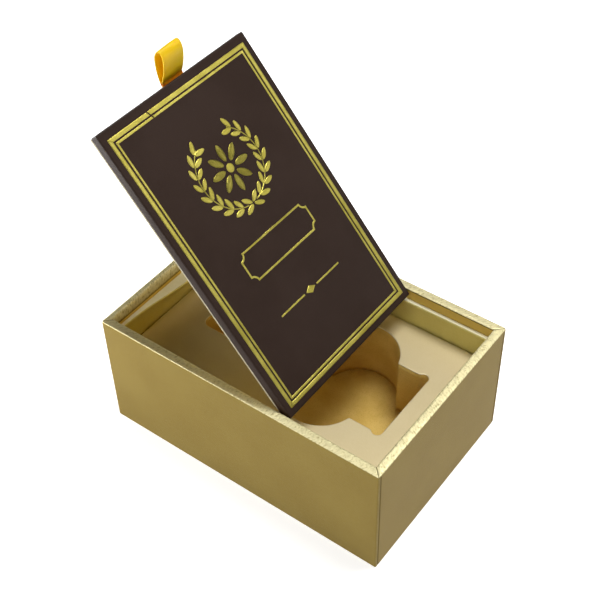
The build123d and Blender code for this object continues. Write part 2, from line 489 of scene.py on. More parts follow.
def pale_edge_group() -> bpy.types.NodeTree:
    """Make the group for the broken, paler look of worn folds and edges, and of the highlight painted over
    rims and ledge tops.

    Returns:
        A group that reads a fold mark and an amount of wear and puts out a wear mask.
    """
    graph, source, result = new_group("rubbed edge", ("Fold", "Amount"), ("Mask",))
    patches = graph.noise(source["Place"], 1.3, detail=5.0, roughness=0.7)
    reach = graph.plus(source["Fold"], source["Amount"])
    shown = graph.fit(graph.times(reach, patches), (0.35, 0.75))
    graph.feed(result, {"Mask": graph.times(shown, source["Fold"])})
    return graph.tree


@dataclass(frozen=True)
class Effects:
    """Shader node groups that the finishes share."""

    fibre: bpy.types.NodeTree
    emboss: bpy.types.NodeTree
    paler: bpy.types.NodeTree


# Finishes


@dataclass(frozen=True)
class Finish:
    """A surface finish: a procedural material with its name and plain constants.

    Sizes and depths are in millimetres. A span that is given for a roughness goes with the height of
    the fibres, from the lowest to the highest.
    """

    effects: Effects
    name: str
    space: PatternSpace = PatternSpace.OBJECT
    fibre: float = 0.2
    cloud: float = 18.0
    wear: float = 0.2

    def start(self) -> tuple[bpy.types.Material, Graph, bpy.types.Node, Socket, Socket]:
        """Make an empty material.

        Returns:
            The material, its graph and shader, the pattern's place in millimetres and the fold mark.
        """
        material = bpy.data.materials.new(self.name)
        material.use_nodes = True
        material.node_tree.nodes.clear()
        graph = Graph(material.node_tree)
        shader = graph.add("ShaderNodeBsdfPrincipled")
        graph.add("ShaderNodeOutputMaterial", {"Surface": shader.outputs[0]})
        if self.space is PatternSpace.SHEET:
            place = graph.mark("sheet_place").outputs["Vector"]
        else:
            place = graph.scaled(graph.add("ShaderNodeTexCoord").outputs["Object"], (1 / MM,) * 3)
        return material, graph, shader, place, graph.mark("fold").outputs["Fac"]

    def fibres(self, graph: Graph, place: Socket) -> tuple[Socket, Socket]:
        """Add the fibres of the paper.

        Args:
            graph: Graph of the material.
            place: Place of the pattern.

        Returns:
            Sockets of the fibre height and of the cloudiness.
        """
        sizes = {"Place": place, "Fibre": self.fibre, "Cloud": self.cloud}
        made = graph.group(self.effects.fibre, sizes)
        return made["Height"], made["Cloudiness"]

    def worn(self, graph: Graph, place: Socket, fold: Socket) -> Socket:
        """Mask of the paler folds: wear, and on the gold paper also a painted highlight."""
        marks = {"Place": place, "Fold": fold, "Amount": self.wear}
        return graph.group(self.effects.paler, marks)["Mask"]


@dataclass(frozen=True)
class PressedFinish(Finish):
    """A finish with short strokes pressed into it."""

    stroke_length: float = 1.5
    stroke_width: float = 0.3
    stroke_angle: float = 0.6
    stroke_depth: float = 0.05
    stroke_strength: float = 0.55

    def strokes(self, graph: Graph, place: Socket) -> Socket:
        """Height of the pressed strokes."""
        sizes = {"Length": self.stroke_length, "Width": self.stroke_width, "Angle": self.stroke_angle}
        return graph.group(self.effects.emboss, {"Place": place, **sizes})["Height"]


@dataclass(frozen=True)
class GoldPaper(PressedFinish):
    """Pearl gold paper with pressed strokes and worn folds, painted highlights on rims and ledge tops,
    painted shade in seams, and turned-in flaps painted lighter.
    """

    light: Colour = (0.270, 0.196, 0.050)
    dark: Colour = (0.232, 0.162, 0.038)
    # Paler colour: wear on folds, and a highlight painted over the rims, ledge tops and corner edges.
    paler: Colour = (0.78, 0.71, 0.41)
    # Painted light: turned-in inner faces are coloured lighter in place of the light they get.
    lit_turned_in: Colour = (0.80, 0.58, 0.14)
    # Painted shade in seams and mitre creases.
    seam: Colour = (0.14, 0.098, 0.026)
    edge_tint: Colour = (0.90, 0.72, 0.42)
    fibre: float = 0.16
    cloud: float = 22.0
    wear: float = 0.7
    fleck_share: float = 0.35
    metallic: float = 0.26
    rubbed_metallic: float = 0.55
    roughness: Span = (0.38, 0.5)
    seam_shade_span: Span = (0.2, 0.7)
    seam_roughness: float = 0.4
    specular: float = 0.1
    fibre_depth: float = 0.012
    fibre_strength: float = 0.5

    def build(self) -> bpy.types.Material:
        """Make the material.

        Returns:
            The gold paper material.
        """
        material, graph, shader, place, fold = self.start()
        strokes = self.strokes(graph, place)
        height, cloudiness = self.fibres(graph, place)
        worn = self.worn(graph, place, fold)
        clouds = graph.times(cloudiness, 1 - self.fleck_share)
        shade = graph.plus(clouds, graph.times(strokes, self.fleck_share))
        # Paler colour where the fold mark is up: wear, and the painted highlight on rims and ledge tops.
        open_paper = graph.mix(worn, graph.mix(shade, self.dark, self.light), self.paler)
        # Turned-in flaps, fold mark -1, take the lighter colour painted in place of their light.
        lit_flap = graph.fit(fold, (0.0, -1.0))
        paper = graph.mix(lit_flap, open_paper, self.lit_turned_in)
        # Painted shade in seams and mitre creases, read from the seam mark.
        depth = graph.fit(graph.mark("seam").outputs["Fac"], self.seam_shade_span)
        rough = graph.fit(height, (0.0, 1.0), self.roughness)
        pressed = graph.bump(strokes, self.stroke_depth, self.stroke_strength)
        looks = {
            "Base Color": graph.mix(depth, paper, self.seam),
            "Metallic": graph.fit(worn, (0.0, 1.0), (self.metallic, self.rubbed_metallic)),
            "Roughness": graph.plus(rough, graph.times(depth, self.seam_roughness)),
            "Specular IOR Level": self.specular,
            "Specular Tint": self.edge_tint,
            "Normal": graph.bump(height, self.fibre_depth, self.fibre_strength, pressed),
        }
        graph.feed(shader, looks)
        return material


@dataclass(frozen=True)
class DarkPaper(Finish):
    """Dark brown fine-grained paper with slightly rubbed edges."""

    light: Colour = (0.0300, 0.0155, 0.0100)
    dark: Colour = (0.0235, 0.0108, 0.0060)
    paler: Colour = (0.045, 0.030, 0.023)
    fibre: float = 0.22
    cloud: float = 30.0
    wear: float = 0.1
    cell_scale: float = 2.6
    grain_span: Span = (0.0, 0.5)
    grain_roughness: Span = (0.58, 0.44)
    grain_depth: float = 0.05
    grain_strength: float = 0.5
    specular: float = 0.16

    def build(self) -> bpy.types.Material:
        """Make the material.

        Returns:
            The dark paper material.
        """
        material, graph, shader, place, fold = self.start()
        height, cloudiness = self.fibres(graph, place)
        grid = {"Vector": place, "Scale": self.cell_scale}
        cells = graph.add("ShaderNodeTexVoronoi", grid, feature="SMOOTH_F1")
        grain = graph.times(height, cells.outputs["Distance"])
        paper = graph.mix(cloudiness, self.dark, self.light)
        looks = {
            "Base Color": graph.mix(self.worn(graph, place, fold), paper, self.paler),
            "Roughness": graph.fit(grain, self.grain_span, self.grain_roughness),
            "Specular IOR Level": self.specular,
            "Normal": graph.bump(grain, self.grain_depth, self.grain_strength),
        }
        graph.feed(shader, looks)
        return material


@dataclass(frozen=True)
class GoldFoil(PressedFinish):
    """Hot-stamped gold foil, pitted where the paper's grain shows through."""

    light: Colour = (0.50, 0.435, 0.092)
    dark: Colour = (0.38, 0.325, 0.056)
    pit: Colour = (0.10, 0.08, 0.02)
    cloud: float = 6.0
    pit_span: Span = (0.06, 0.2)
    stroke_length: float = 0.9
    stroke_width: float = 0.22
    stroke_angle: float = 0.9
    stroke_depth: float = 0.006
    stroke_strength: float = 0.3
    stroke_roughness: Span = (0.3, 0.4)

    def build(self) -> bpy.types.Material:
        """Make the material.

        Returns:
            The foil material.
        """
        material, graph, shader, place, _ = self.start()
        strokes = self.strokes(graph, place)
        height, cloudiness = self.fibres(graph, place)
        pits = graph.fit(height, self.pit_span, (1.0, 0.0))
        looks = {
            "Base Color": graph.mix(pits, graph.mix(cloudiness, self.dark, self.light), self.pit),
            "Metallic": 1.0,
            "Roughness": graph.fit(strokes, (0.0, 1.0), self.stroke_roughness),
            "Normal": graph.bump(strokes, self.stroke_depth, self.stroke_strength),
        }
        graph.feed(shader, looks)
        return material


@dataclass(frozen=True)
class PaperBoard(Finish):
    """Speckled raw board or paper tape, with the values of greyboard."""

    light: Colour = (0.36, 0.33, 0.28)
    dark: Colour = (0.27, 0.25, 0.21)
    speck: Colour = (0.12, 0.10, 0.08)
    speck_share: float = 0.2
    fibre: float = 0.4
    fibre_depth: float = 0.06
    fibre_strength: float = 0.5
    roughness: Span = (0.93, 0.80)
    specular: float = 0.35

    def build(self) -> bpy.types.Material:
        """Make the material.

        Returns:
            The board material.
        """
        material, graph, shader, place, fold = self.start()
        height, cloudiness = self.fibres(graph, place)
        specks = graph.fit(height, (0.0, self.speck_share), (1.0, 0.0))
        speckled = graph.mix(specks, graph.mix(cloudiness, self.dark, self.light), self.speck)
        looks = {
            "Base Color": graph.mix(self.worn(graph, place, fold), speckled, self.light),
            "Roughness": graph.fit(height, (0.0, 1.0), self.roughness),
            "Specular IOR Level": self.specular,
            "Normal": graph.bump(height, self.fibre_depth, self.fibre_strength),
        }
        graph.feed(shader, looks)
        return material


@dataclass(frozen=True)
class CutFoam(Finish):
    """Golden tan foam with small open pores."""

    light: Colour = (0.72, 0.51, 0.145)
    dark: Colour = (0.63, 0.42, 0.10)
    pore: Colour = (0.46, 0.28, 0.045)
    fibre: float = 0.3
    cloud: float = 9.0
    pore_size: float = 0.5
    pore_span: Span = (0.12, 0.4)
    pore_shade: float = 0.55
    pore_depth: float = 0.1
    pore_strength: float = 0.5
    roughness: Span = (0.8, 0.95)
    specular: float = 0.2

    def build(self) -> bpy.types.Material:
        """Make the material.

        Returns:
            The foam material.
        """
        material, graph, shader, place, _ = self.start()
        height, cloudiness = self.fibres(graph, place)
        pores = graph.add("ShaderNodeTexVoronoi", {"Vector": place, "Scale": 1 / self.pore_size})
        open_pore = graph.fit(pores.outputs["Distance"], self.pore_span, (1.0, 0.0))
        base = graph.mix(cloudiness, self.dark, self.light)
        surface = graph.math("SUBTRACT", height, open_pore)
        looks = {
            "Base Color": graph.mix(graph.times(open_pore, self.pore_shade), base, self.pore),
            "Roughness": graph.fit(height, (0.0, 1.0), self.roughness),
            "Specular IOR Level": self.specular,
            "Normal": graph.bump(surface, self.pore_depth, self.pore_strength),
        }
        graph.feed(shader, looks)
        return material


@dataclass(frozen=True)
class SatinRibbon(Finish):
    """Golden yellow satin ribbon with fine ribs across it and a woven edge."""

    light: Colour = (0.88, 0.60, 0.006)
    dark: Colour = (0.80, 0.50, 0.003)
    # Painted shade where the ribbon goes into the lid.
    root_shade: Colour = (0.60, 0.20, 0.003)
    fibre: float = 0.12
    cloud: float = 5.0
    rib: float = 0.28
    rib_height: float = 0.35
    stitch_rate: float = 0.5
    edge_span: Span = (4.35, 4.55)
    weave_span: Span = (-0.8, 1.6)
    weave_depth: float = 0.014
    weave_strength: float = 0.35
    roughness: Span = (0.36, 0.5)
    light_through: float = 0.7
    through_radius: Colour = (1.0, 0.9, 0.1)
    through_depth: float = 0.6
    sheen: float = 0.25
    sheen_roughness: float = 0.35
    sheen_tint: Colour = (1.0, 0.78, 0.08)
    specular: float = 0.3
    anisotropy: float = 0.5

    def build(self) -> bpy.types.Material:
        """Make the material.

        Returns:
            The satin material.
        """
        material, graph, shader, place, fold = self.start()
        height, _ = self.fibres(graph, place)
        axes = graph.add("ShaderNodeSeparateXYZ", {0: place}).outputs
        edge = graph.fit(graph.math("ABSOLUTE", axes["X"]), self.edge_span)
        turns = graph.times(axes["Y"], math.tau / self.rib)
        ribs = graph.times(graph.math("SINE", turns), self.rib_height)
        stitches = graph.times(graph.math("SINE", graph.times(turns, self.stitch_rate)), edge)
        woven = graph.plus(graph.plus(ribs, stitches), height)
        satin = graph.mix(graph.fit(woven, self.weave_span), self.dark, self.light)
        looks = {
            # The fold mark carries the painted shade near the lid.
            "Base Color": graph.mix(fold, satin, self.root_shade),
            "Roughness": graph.fit(height, (0.0, 1.0), self.roughness),
            "Subsurface Weight": self.light_through,
            "Subsurface Radius": self.through_radius,
            "Subsurface Scale": self.through_depth * MM,
            "Sheen Weight": self.sheen,
            "Sheen Roughness": self.sheen_roughness,
            "Sheen Tint": self.sheen_tint,
            "Specular IOR Level": self.specular,
            "Anisotropic": self.anisotropy,
            "Normal": graph.bump(woven, self.weave_depth, self.weave_strength),
        }
        graph.feed(shader, looks)
        return material


class FinishSet:
    """All the finishes of the box, built once."""

    def __init__(self) -> None:
        """Build the shared effects and every material."""
        effects = Effects(paper_fibre_group(), emboss_group(), pale_edge_group())
        sheet = PatternSpace.SHEET
        self.gold_paper = GoldPaper(effects, "gold_paper_finish", sheet).build()
        # The ledge lining is a lighter copy of the gold paper: painted light for the ledges, and its paler
        # top is a painted highlight.
        self.ledge_paper = GoldPaper(
            effects,
            "lit_gold_ledge_paper_finish",
            sheet,
            light=(0.74, 0.67, 0.25),
            dark=(0.67, 0.59, 0.20),
            paler=(0.92, 0.88, 0.64),
            metallic=0.6,
            specular=0.5,
            rubbed_metallic=0.05,
        ).build()
        self.gold_base_paper = GoldPaper(effects, "gold_base_paper_finish").build()
        self.dark_paper = DarkPaper(effects, "dark_paper_finish").build()
        self.foil = GoldFoil(effects, "gold_foil_finish").build()
        self.cream = GoldPaper(
            effects,
            "cream_sheet_finish",
            sheet,
            light=(0.64, 0.54, 0.33),
            dark=(0.60, 0.50, 0.29),
            paler=(0.74, 0.66, 0.45),
            metallic=0.6,
            specular=0.5,
            stroke_depth=0.01,
        ).build()
        self.pale_board = GoldPaper(
            effects,
            "pale_board_finish",
            light=(0.33, 0.24, 0.055),
            dark=(0.29, 0.205, 0.045),
            paler=(0.50, 0.45, 0.31),
            rubbed_metallic=0.0,
            wear=1.2,
        ).build()
        self.greyboard = PaperBoard(effects, "greyboard_finish").build()
        self.tape = PaperBoard(
            effects,
            "paper_tape_finish",
            light=(0.52, 0.40, 0.24),
            dark=(0.44, 0.32, 0.18),
            speck=(0.30, 0.20, 0.10),
            speck_share=0.1,
            fibre=0.18,
            fibre_depth=0.02,
            roughness=(0.83, 0.70),
        ).build()
        self.foam = CutFoam(effects, "foam_finish").build()
        self.ribbon = SatinRibbon(effects, "satin_ribbon_finish", sheet).build()


# Tray


class Side(Enum):
    """The four walls, each with the direction inwards and the direction along it."""

    FRONT = ("front", (0, 1, 0), (1, 0, 0))
    BACK = ("back", (0, -1, 0), (-1, 0, 0))
    LEFT = ("left", (1, 0, 0), (0, -1, 0))
    RIGHT = ("right", (-1, 0, 0), (0, 1, 0))

    @property
    def label(self) -> str:
        """Name of the wall."""
        return self.value[0]

    @property
    def inward(self) -> np.ndarray:
        """Direction from the outer face into the box."""
        return np.array(self.value[1], float)

    @property
    def along(self) -> np.ndarray:
        """Direction along the wall."""
        return np.array(self.value[2], float)

    @property
    def is_long(self) -> bool:
        """Whether it is one of the two long walls."""
        return self in (Side.FRONT, Side.BACK)


@dataclass
class Profile:
    """Cross-section of folded paper: rows of points from one edge of the sheet to the other."""

    depth: np.ndarray
    height: np.ndarray
    fold: np.ndarray
    press: np.ndarray
    corner: np.ndarray
    seam: np.ndarray
    lean: np.ndarray

    def run(self) -> np.ndarray:
        """Distance of each row along the sheet."""
        return run_along(np.column_stack([self.depth, self.height]))

    def normals(self) -> tuple[np.ndarray, np.ndarray]:
        """Direction out of the sheet at each row.

        Returns:
            Its parts inwards and upwards.
        """
        step_depth = np.gradient(self.depth)
        step_height = np.gradient(self.height)
        length = np.hypot(step_depth, step_height)
        return -step_height / length, step_depth / length


@dataclass
class FoldedPaper:
    """Paper folded along one wall, mitred at the two corners of the box."""

    side: Side
    half_run: float
    half_across: float
    profile: Profile
    swell: float = 0.0
    swell_power: int = 3
    press_depth: float = 0.08
    press_length: float = 1.4
    press_width: float = 0.45
    press_angle: float = 0.95
    press_share: float = 0.5
    press_middle: float = 0.1
    press_seed: float = 3.0
    end_zone: float = 2.6
    end_step: float = 0.09
    step: float = 0.2
    seam_at: float = 0.75
    seam_depth: float = 0.12
    seam_width: float = 0.25
    seam_shadow: float = 1.5
    mitre_depth: float = 0.14
    mitre_shadow: float = 0.55
    edge_highlight: float = 0.35
    edge_highlight_width: float = 0.35
    corner_steps: int = 4

    def columns(self) -> tuple[np.ndarray, np.ndarray, np.ndarray]:
        """Places of the columns along the wall.

        Returns:
            Share along the middle part, distance from the corner's rounding, and turn round the corner.
        """
        ends = np.arange(0.0, self.end_zone, self.end_step)
        count = int(2 * (self.half_run - self.end_zone) / self.step)
        turns = np.linspace(math.pi / 4, 0.0, self.corner_steps, endpoint=False)
        beyond = np.ones(len(turns) + len(ends))
        share = np.concatenate([-beyond, np.linspace(-1.0, 1.0, count), beyond])
        near = np.concatenate([np.zeros(len(turns)), ends])
        from_end = np.concatenate([near, np.full(count, self.end_zone), near[::-1]])
        straight = np.zeros(count + 2 * len(ends))
        return share, from_end, np.concatenate([turns, straight, turns[::-1]])

    def strokes(self, places: np.ndarray) -> np.ndarray:
        """Height of the strokes pressed into the sheet.

        Args:
            places: Places on the flat sheet.

        Returns:
            Heights from about -1 to 1.
        """
        along, across = places[..., 0], places[..., 1]
        cosine, sine = math.cos(self.press_angle), math.sin(self.press_angle)
        turned = [
            (along * cosine + across * sine) / self.press_length,
            (across * cosine - along * sine) / self.press_width,
        ]
        return wave(np.stack(turned, axis=-1), self.press_seed + self.half_run)

    def build(self, draft: Draft) -> None:
        """Add the folded sheet to a draft.

        Args:
            draft: Draft to add to.
        """
        rows = self.profile
        row_depth, radius, row_press = (line[:, None] for line in (rows.depth, rows.corner, rows.press))
        share, from_end, turn = self.columns()
        hand = np.sign(share)
        hand[share == 0] = 1.0
        straight = self.half_run - row_depth - radius
        middle = (straight - self.end_zone) * share
        along = middle + hand * (self.end_zone - from_end) + hand * radius * np.sin(turn)
        middle_share = np.cos(np.clip(along / (self.half_run - rows.depth.min()), -1, 1) * math.pi / 2)
        depth = row_depth + radius * (1 - np.cos(turn))
        depth = depth + self.swell * rows.lean[:, None] * middle_share**self.swell_power
        places = np.stack(np.broadcast_arrays(along, rows.run()[:, None]), axis=-1)

        ridges = row_press * self.strokes(places)
        corner_gap = from_end + radius * (math.pi / 4 - turn)
        mitre = row_press * np.exp(-((corner_gap / self.seam_width) ** 2))
        offset = (from_end - self.seam_at) / self.seam_width
        seam = rows.seam[:, None] * np.exp(-(offset**2)) * (turn == 0)
        lift = self.press_depth * ridges - (self.mitre_depth * mitre + self.seam_depth * seam)

        inward_part, up_part = (part[:, None] for part in rows.normals())
        points = (
            -self.side.inward * self.half_across
            + self.side.along * (along - lift * inward_part * np.sin(turn) * hand)[..., None]
            + self.side.inward * (depth + lift * inward_part * np.cos(turn))[..., None]
            + UP * (rows.height[:, None] + lift * up_part)[..., None]
        )
        # Painted highlight along the corner edges beside the side seams: the fold mark is raised there so the
        # paler colour shows.
        edge = self.edge_highlight * rows.seam[:, None] * np.exp(-((corner_gap / self.edge_highlight_width) ** 2))
        # Painted shade in the pressed strokes: the paler colour is held back in their grooves and kept on
        # their ridges.
        groove_shade = self.press_share * row_press * (self.press_middle - ridges)
        paler = rows.fold[:, None] * np.clip(1 - groove_shade, 0, 1)
        folds = np.where(paler < 0, paler, np.maximum(paler, edge))
        shadow = np.clip(np.maximum(self.mitre_shadow * mitre, self.seam_shadow * seam), 0, 1)
        draft.add_grid(points, places, folds, shadow)


@dataclass
class Tray:
    """Tray of boards in gold paper, with a ledge inside that carries the lid."""

    finishes: FinishSet
    wrap_paper: float = 0.2
    rim_fold: Span = (0.7, 4.5)
    rolled_fold: Span = (3.4, 2.2)
    rim_rows: int = 30
    rim_highlight: float = 3.0
    rim_press: float = 4.0
    board_inset: float = 0.4
    corner_radius: float = 0.55
    inner_corner_radius: float = 0.2
    bottom_radius: float = 0.6
    bottom_rows: int = 5
    wall_rows: int = 4
    inner_rows: int = 3
    row_gap: float = 0.1
    turn_under: float = 12.8
    turn_in: float = 13.5
    ledge_edge: tuple[Span, ...] = ((0.0, 0.25), (0.12, 0.08), (0.3, 0.0))
    ledge_radius: float = 0.8
    ledge_rows: int = 7
    ledge_highlight_rows: int = 3
    ledge_press: float = 0.3
    ledge_corner_radius: float = 0.12
    ledge_skirt: float = 21.8
    skirt_rows: int = 8
    swell_height: float = 4.5
    left_swell: float = 4.2
    half_length: float = field(init=False)
    half_width: float = field(init=False)
    top: float = field(init=False)
    bottom: float = field(init=False)
    wall: float = field(init=False)
    ledge_top: float = field(init=False)
    ledge_depth: float = field(init=False)

    def __post_init__(self) -> None:
        """Read the tray's sizes from the frame."""
        self.half_length = node_box("right_wrap")[1][0]
        self.half_width = node_box("back_wrap")[1][1]
        self.bottom = node_box("front_wrap")[0][2]
        self.top = node_box("front_wrap")[1][2]
        self.wall = self.half_width + node_box("front_ledge_board")[0][1]
        self.ledge_top = node_box("front_ledge_paper")[1][2]
        self.ledge_depth = self.half_width + node_box("front_ledge_paper")[1][1]

    def halves(self, side: Side) -> Span:
        """Half the tray's size along a wall and across it."""
        sizes = (self.half_length, self.half_width)
        return sizes if side.is_long else sizes[::-1]

    def wrap_profile(self, inner_fold: Span) -> Profile:
        """Cross-section of a wall's wrap, from under the tray over the rim to behind the ledge.

        Args:
            inner_fold: Height of the rim's fold on the inner side, and how square it is.

        Returns:
            The profile.
        """
        radius, gap = self.bottom_radius, self.row_gap
        quarter = np.linspace(0.0, math.pi / 2, self.bottom_rows)
        flap_depth = np.array([self.turn_under, self.turn_under / 2, radius + 2 * gap])
        fold_depth = radius - radius * np.sin(quarter)
        fold_height = self.bottom + radius - radius * np.cos(quarter)
        wall_top = self.top - self.rim_fold[0] - gap
        wall_height = np.linspace(self.bottom + radius + gap, wall_top, self.wall_rows)
        bearing = np.linspace(math.pi, 0.0, self.rim_rows)
        drop, power = np.where(bearing[:, None] > math.pi / 2, self.rim_fold, inner_fold).T
        across = np.sign(np.cos(bearing)) * np.abs(np.cos(bearing)) ** (2 / power)
        rim_depth = self.wall / 2 * (1 + across)
        rim_height = self.top - drop * (1 - np.abs(np.sin(bearing)) ** (2 / power))
        inner_top = self.top - inner_fold[0] - gap
        inner_height = np.linspace(inner_top, self.top - self.turn_in, self.inner_rows)
        wall_depth, inner_depth = np.zeros(self.wall_rows), np.full(self.inner_rows, self.wall)
        flap_height = np.full(len(flap_depth), self.bottom)
        depths = (flap_depth, fold_depth, wall_depth, rim_depth, inner_depth)
        _, foot, face, rim, inside = range(len(depths))
        parts = np.repeat(np.arange(len(depths)), [len(rows) for rows in depths])
        depth = np.concatenate(depths)
        height = np.concatenate([flap_height, fold_height, wall_height, rim_height, inner_height])
        fold, press = np.zeros((2, len(depth)))
        fold[parts == foot] = np.sin(2 * quarter)
        # The paler colour is spread over the whole rim as a painted highlight where its top faces the light.
        fold[parts == rim] = np.clip(self.rim_highlight * np.sin(bearing), 0, 1)
        # The inner face behind the rim is marked to be painted lighter in place of the light it gets.
        fold[parts == inside] = -1.0
        press[parts == rim] = np.clip(self.rim_press * np.sin(bearing), 0, 1)
        outer = np.clip(1 - depth / self.wall, 0.0, 1.0)
        corner = self.inner_corner_radius + (self.corner_radius - self.inner_corner_radius) * outer
        seam = np.isin(parts, (foot, face)).astype(float)
        return Profile(depth, height, fold, press, corner, seam, np.zeros(len(depth)))

    def ledge_profile(self) -> Profile:
        """Cross-section of the paper over a ledge board, from the wall inwards and down.

        Returns:
            The profile.
        """
        radius, inner = self.ledge_radius, self.ledge_depth
        quarter = np.linspace(0.0, math.pi / 2, self.ledge_rows)
        edge_depth, edge_drop = np.array(self.ledge_edge).T
        top_depth = np.append(self.wall + edge_depth, inner - radius - self.row_gap)
        top_height = self.ledge_top - np.append(edge_drop, 0.0)
        fold_depth = inner - radius + radius * np.sin(quarter)
        fold_height = self.ledge_top - radius + radius * np.cos(quarter)
        skirt_top = self.ledge_top - radius - self.row_gap
        skirt_height = np.linspace(skirt_top, self.ledge_top - self.ledge_skirt, self.skirt_rows)
        depth = np.concatenate([top_depth, fold_depth, np.full(self.skirt_rows, inner)])
        height = np.concatenate([top_height, fold_height, skirt_height])
        fold, press, seam = np.zeros((3, len(depth)))
        first = len(top_depth)
        press[first:first + self.ledge_rows] = self.ledge_press * np.sin(2 * quarter)
        # Painted highlight on the ledge's top and its rounded fold.
        fold[1:first + self.ledge_highlight_rows] = 1.0
        corner = np.full(len(depth), self.ledge_corner_radius)
        top_lean = (depth - self.wall) / (inner - self.wall)
        lean = np.minimum(top_lean, np.clip(1 - (self.ledge_top - height) / self.swell_height, 0, 1))
        return Profile(depth, height, fold, press, corner, seam, lean)

    def rolled_board(self, side: Side, profile: Profile) -> None:
        """Make a wall board whose top is rounded under a rolled rim.

        Args:
            side: The wall.
            profile: Cross-section of its wrap.
        """
        node = f"{side.label}_wall_board"
        low, high = node_box(node)
        inward_part, up_part = profile.normals()
        rim = profile.press > 0
        depth = (profile.depth - self.board_inset * inward_part)[rim]
        height = (profile.height - self.board_inset * up_part)[rim]
        section = np.column_stack([depth, height])
        foot = [[section[-1, 0], low[2]], [section[0, 0], low[2]]]
        section = np.concatenate([section, foot])
        across = side.inward * (section[:, :1] - self.halves(side)[1])
        ends = [np.dot(corner, side.along) for corner in (low, high)]
        loops = np.stack([across + UP * section[:, 1:] + side.along * end for end in sorted(ends)])
        draft = Draft()
        numbers = draft.add_points(loops, loops[..., :2])
        draft.add_quads(numbers, closed=True)
        draft.faces.append(numbers[0].tolist())
        draft.faces.append(numbers[1][::-1].tolist())
        piece = draft.make(f"{side.label}_rolled_board", self.finishes.greyboard)
        settle(piece, Body.TRAY, node)

    def build(self) -> None:
        """Make the wraps, the ledge papers and the rolled left board, and dress the other boards."""
        for side in Side:
            label, rolled = side.label, side is Side.LEFT
            wrap = self.wrap_profile(self.rolled_fold if rolled else self.rim_fold)
            if side.is_long:
                wrap.seam[:] = 0.0
            sheets = (
                (f"{label}_gold_wrap", wrap, self.finishes.gold_paper, f"{label}_wrap"),
                (
                    f"{label}_ledge_lining",
                    self.ledge_profile(),
                    self.finishes.ledge_paper,
                    f"{label}_ledge_paper",
                ),
            )
            for name, profile, finish, node in sheets:
                draft = Draft()
                swell = self.left_swell if rolled else 0.0
                FoldedPaper(side, *self.halves(side), profile, swell).build(draft)
                piece = draft.make(name, finish)
                thicken(piece, self.wrap_paper)
                settle(piece, Body.TRAY, node)
            if rolled:
                self.rolled_board(side, wrap)
            else:
                dress_node(f"{label}_wall_board", self.finishes.greyboard)
            dress_node(f"{label}_ledge_board", self.finishes.greyboard)
        dress_node("floor_board", self.finishes.greyboard)
        dress_node("corner_tapes", self.finishes.tape)
        dress_node("bottom_sheet", self.finishes.gold_base_paper)


# Outlines


def arc(centre: Span, radius: float, start: float, end: float, count: int) -> np.ndarray:
    """Points in the plane on an arc, from one angle in degrees to another."""
    angles = np.radians(np.linspace(start, end, count))
    return np.array(centre) + radius * np.column_stack([np.cos(angles), np.sin(angles)])


def circle(radius: float, count: int) -> np.ndarray:
    """Points on a circle round the origin."""
    return arc((0, 0), radius, 0, 360, count + 1)[:-1]


def rounded_rectangle(half: Sequence[float], corner: float, count: int) -> np.ndarray:
    """Counterclockwise outline of a rectangle round the origin.

    Args:
        half: Half its length and half its width.
        corner: Radius of its corners.
        count: Number of points at each corner.

    Returns:
        Points of the outline.
    """
    x, y = half[0] - corner, half[1] - corner
    corners = [(x, y), (-x, y), (-x, -y), (x, -y)]
    return np.vstack([arc(c, corner, 90 * k, 90 * k + 90, count) for k, c in enumerate(corners)])


def softened(outline: np.ndarray, spacing: float, softness: float) -> np.ndarray:
    """Space a closed outline evenly and round its corners a little.

    Args:
        outline: Corner points of the closed outline.
        spacing: Distance between the new points.
        softness: How far the rounding reaches.

    Returns:
        The softened outline.
    """
    closed = np.vstack([outline, outline[:1]])
    run = run_along(closed)
    count = int(run[-1] / spacing)
    places = np.linspace(0.0, run[-1], count, endpoint=False)
    points = np.column_stack([np.interp(places, run, closed[:, k]) for k in (0, 1)])
    reach = int(3 * softness / spacing) + 1
    weights = {k: math.exp(-0.5 * (k * spacing / softness) ** 2) for k in range(-reach, reach + 1)}
    total = sum(weights.values())
    return sum(weight * np.roll(points, k, axis=0) for k, weight in weights.items()) / total


def moved_out(outline: np.ndarray, distance: float) -> np.ndarray:
    """Move a closed counterclockwise outline outwards.

    Args:
        outline: Points of the outline.
        distance: How far to move it, negative for inwards.

    Returns:
        The moved outline.
    """
    tangent = np.roll(outline, -1, axis=0) - np.roll(outline, 1, axis=0)
    tangent /= np.linalg.norm(tangent, axis=1, keepdims=True)
    return outline + distance * np.column_stack([tangent[:, 1], -tangent[:, 0]])


def at_height(outline: np.ndarray, height: float) -> np.ndarray:
    """Lift a flat outline to a height."""
    return np.column_stack([outline, np.full(len(outline), height)])


# Insert


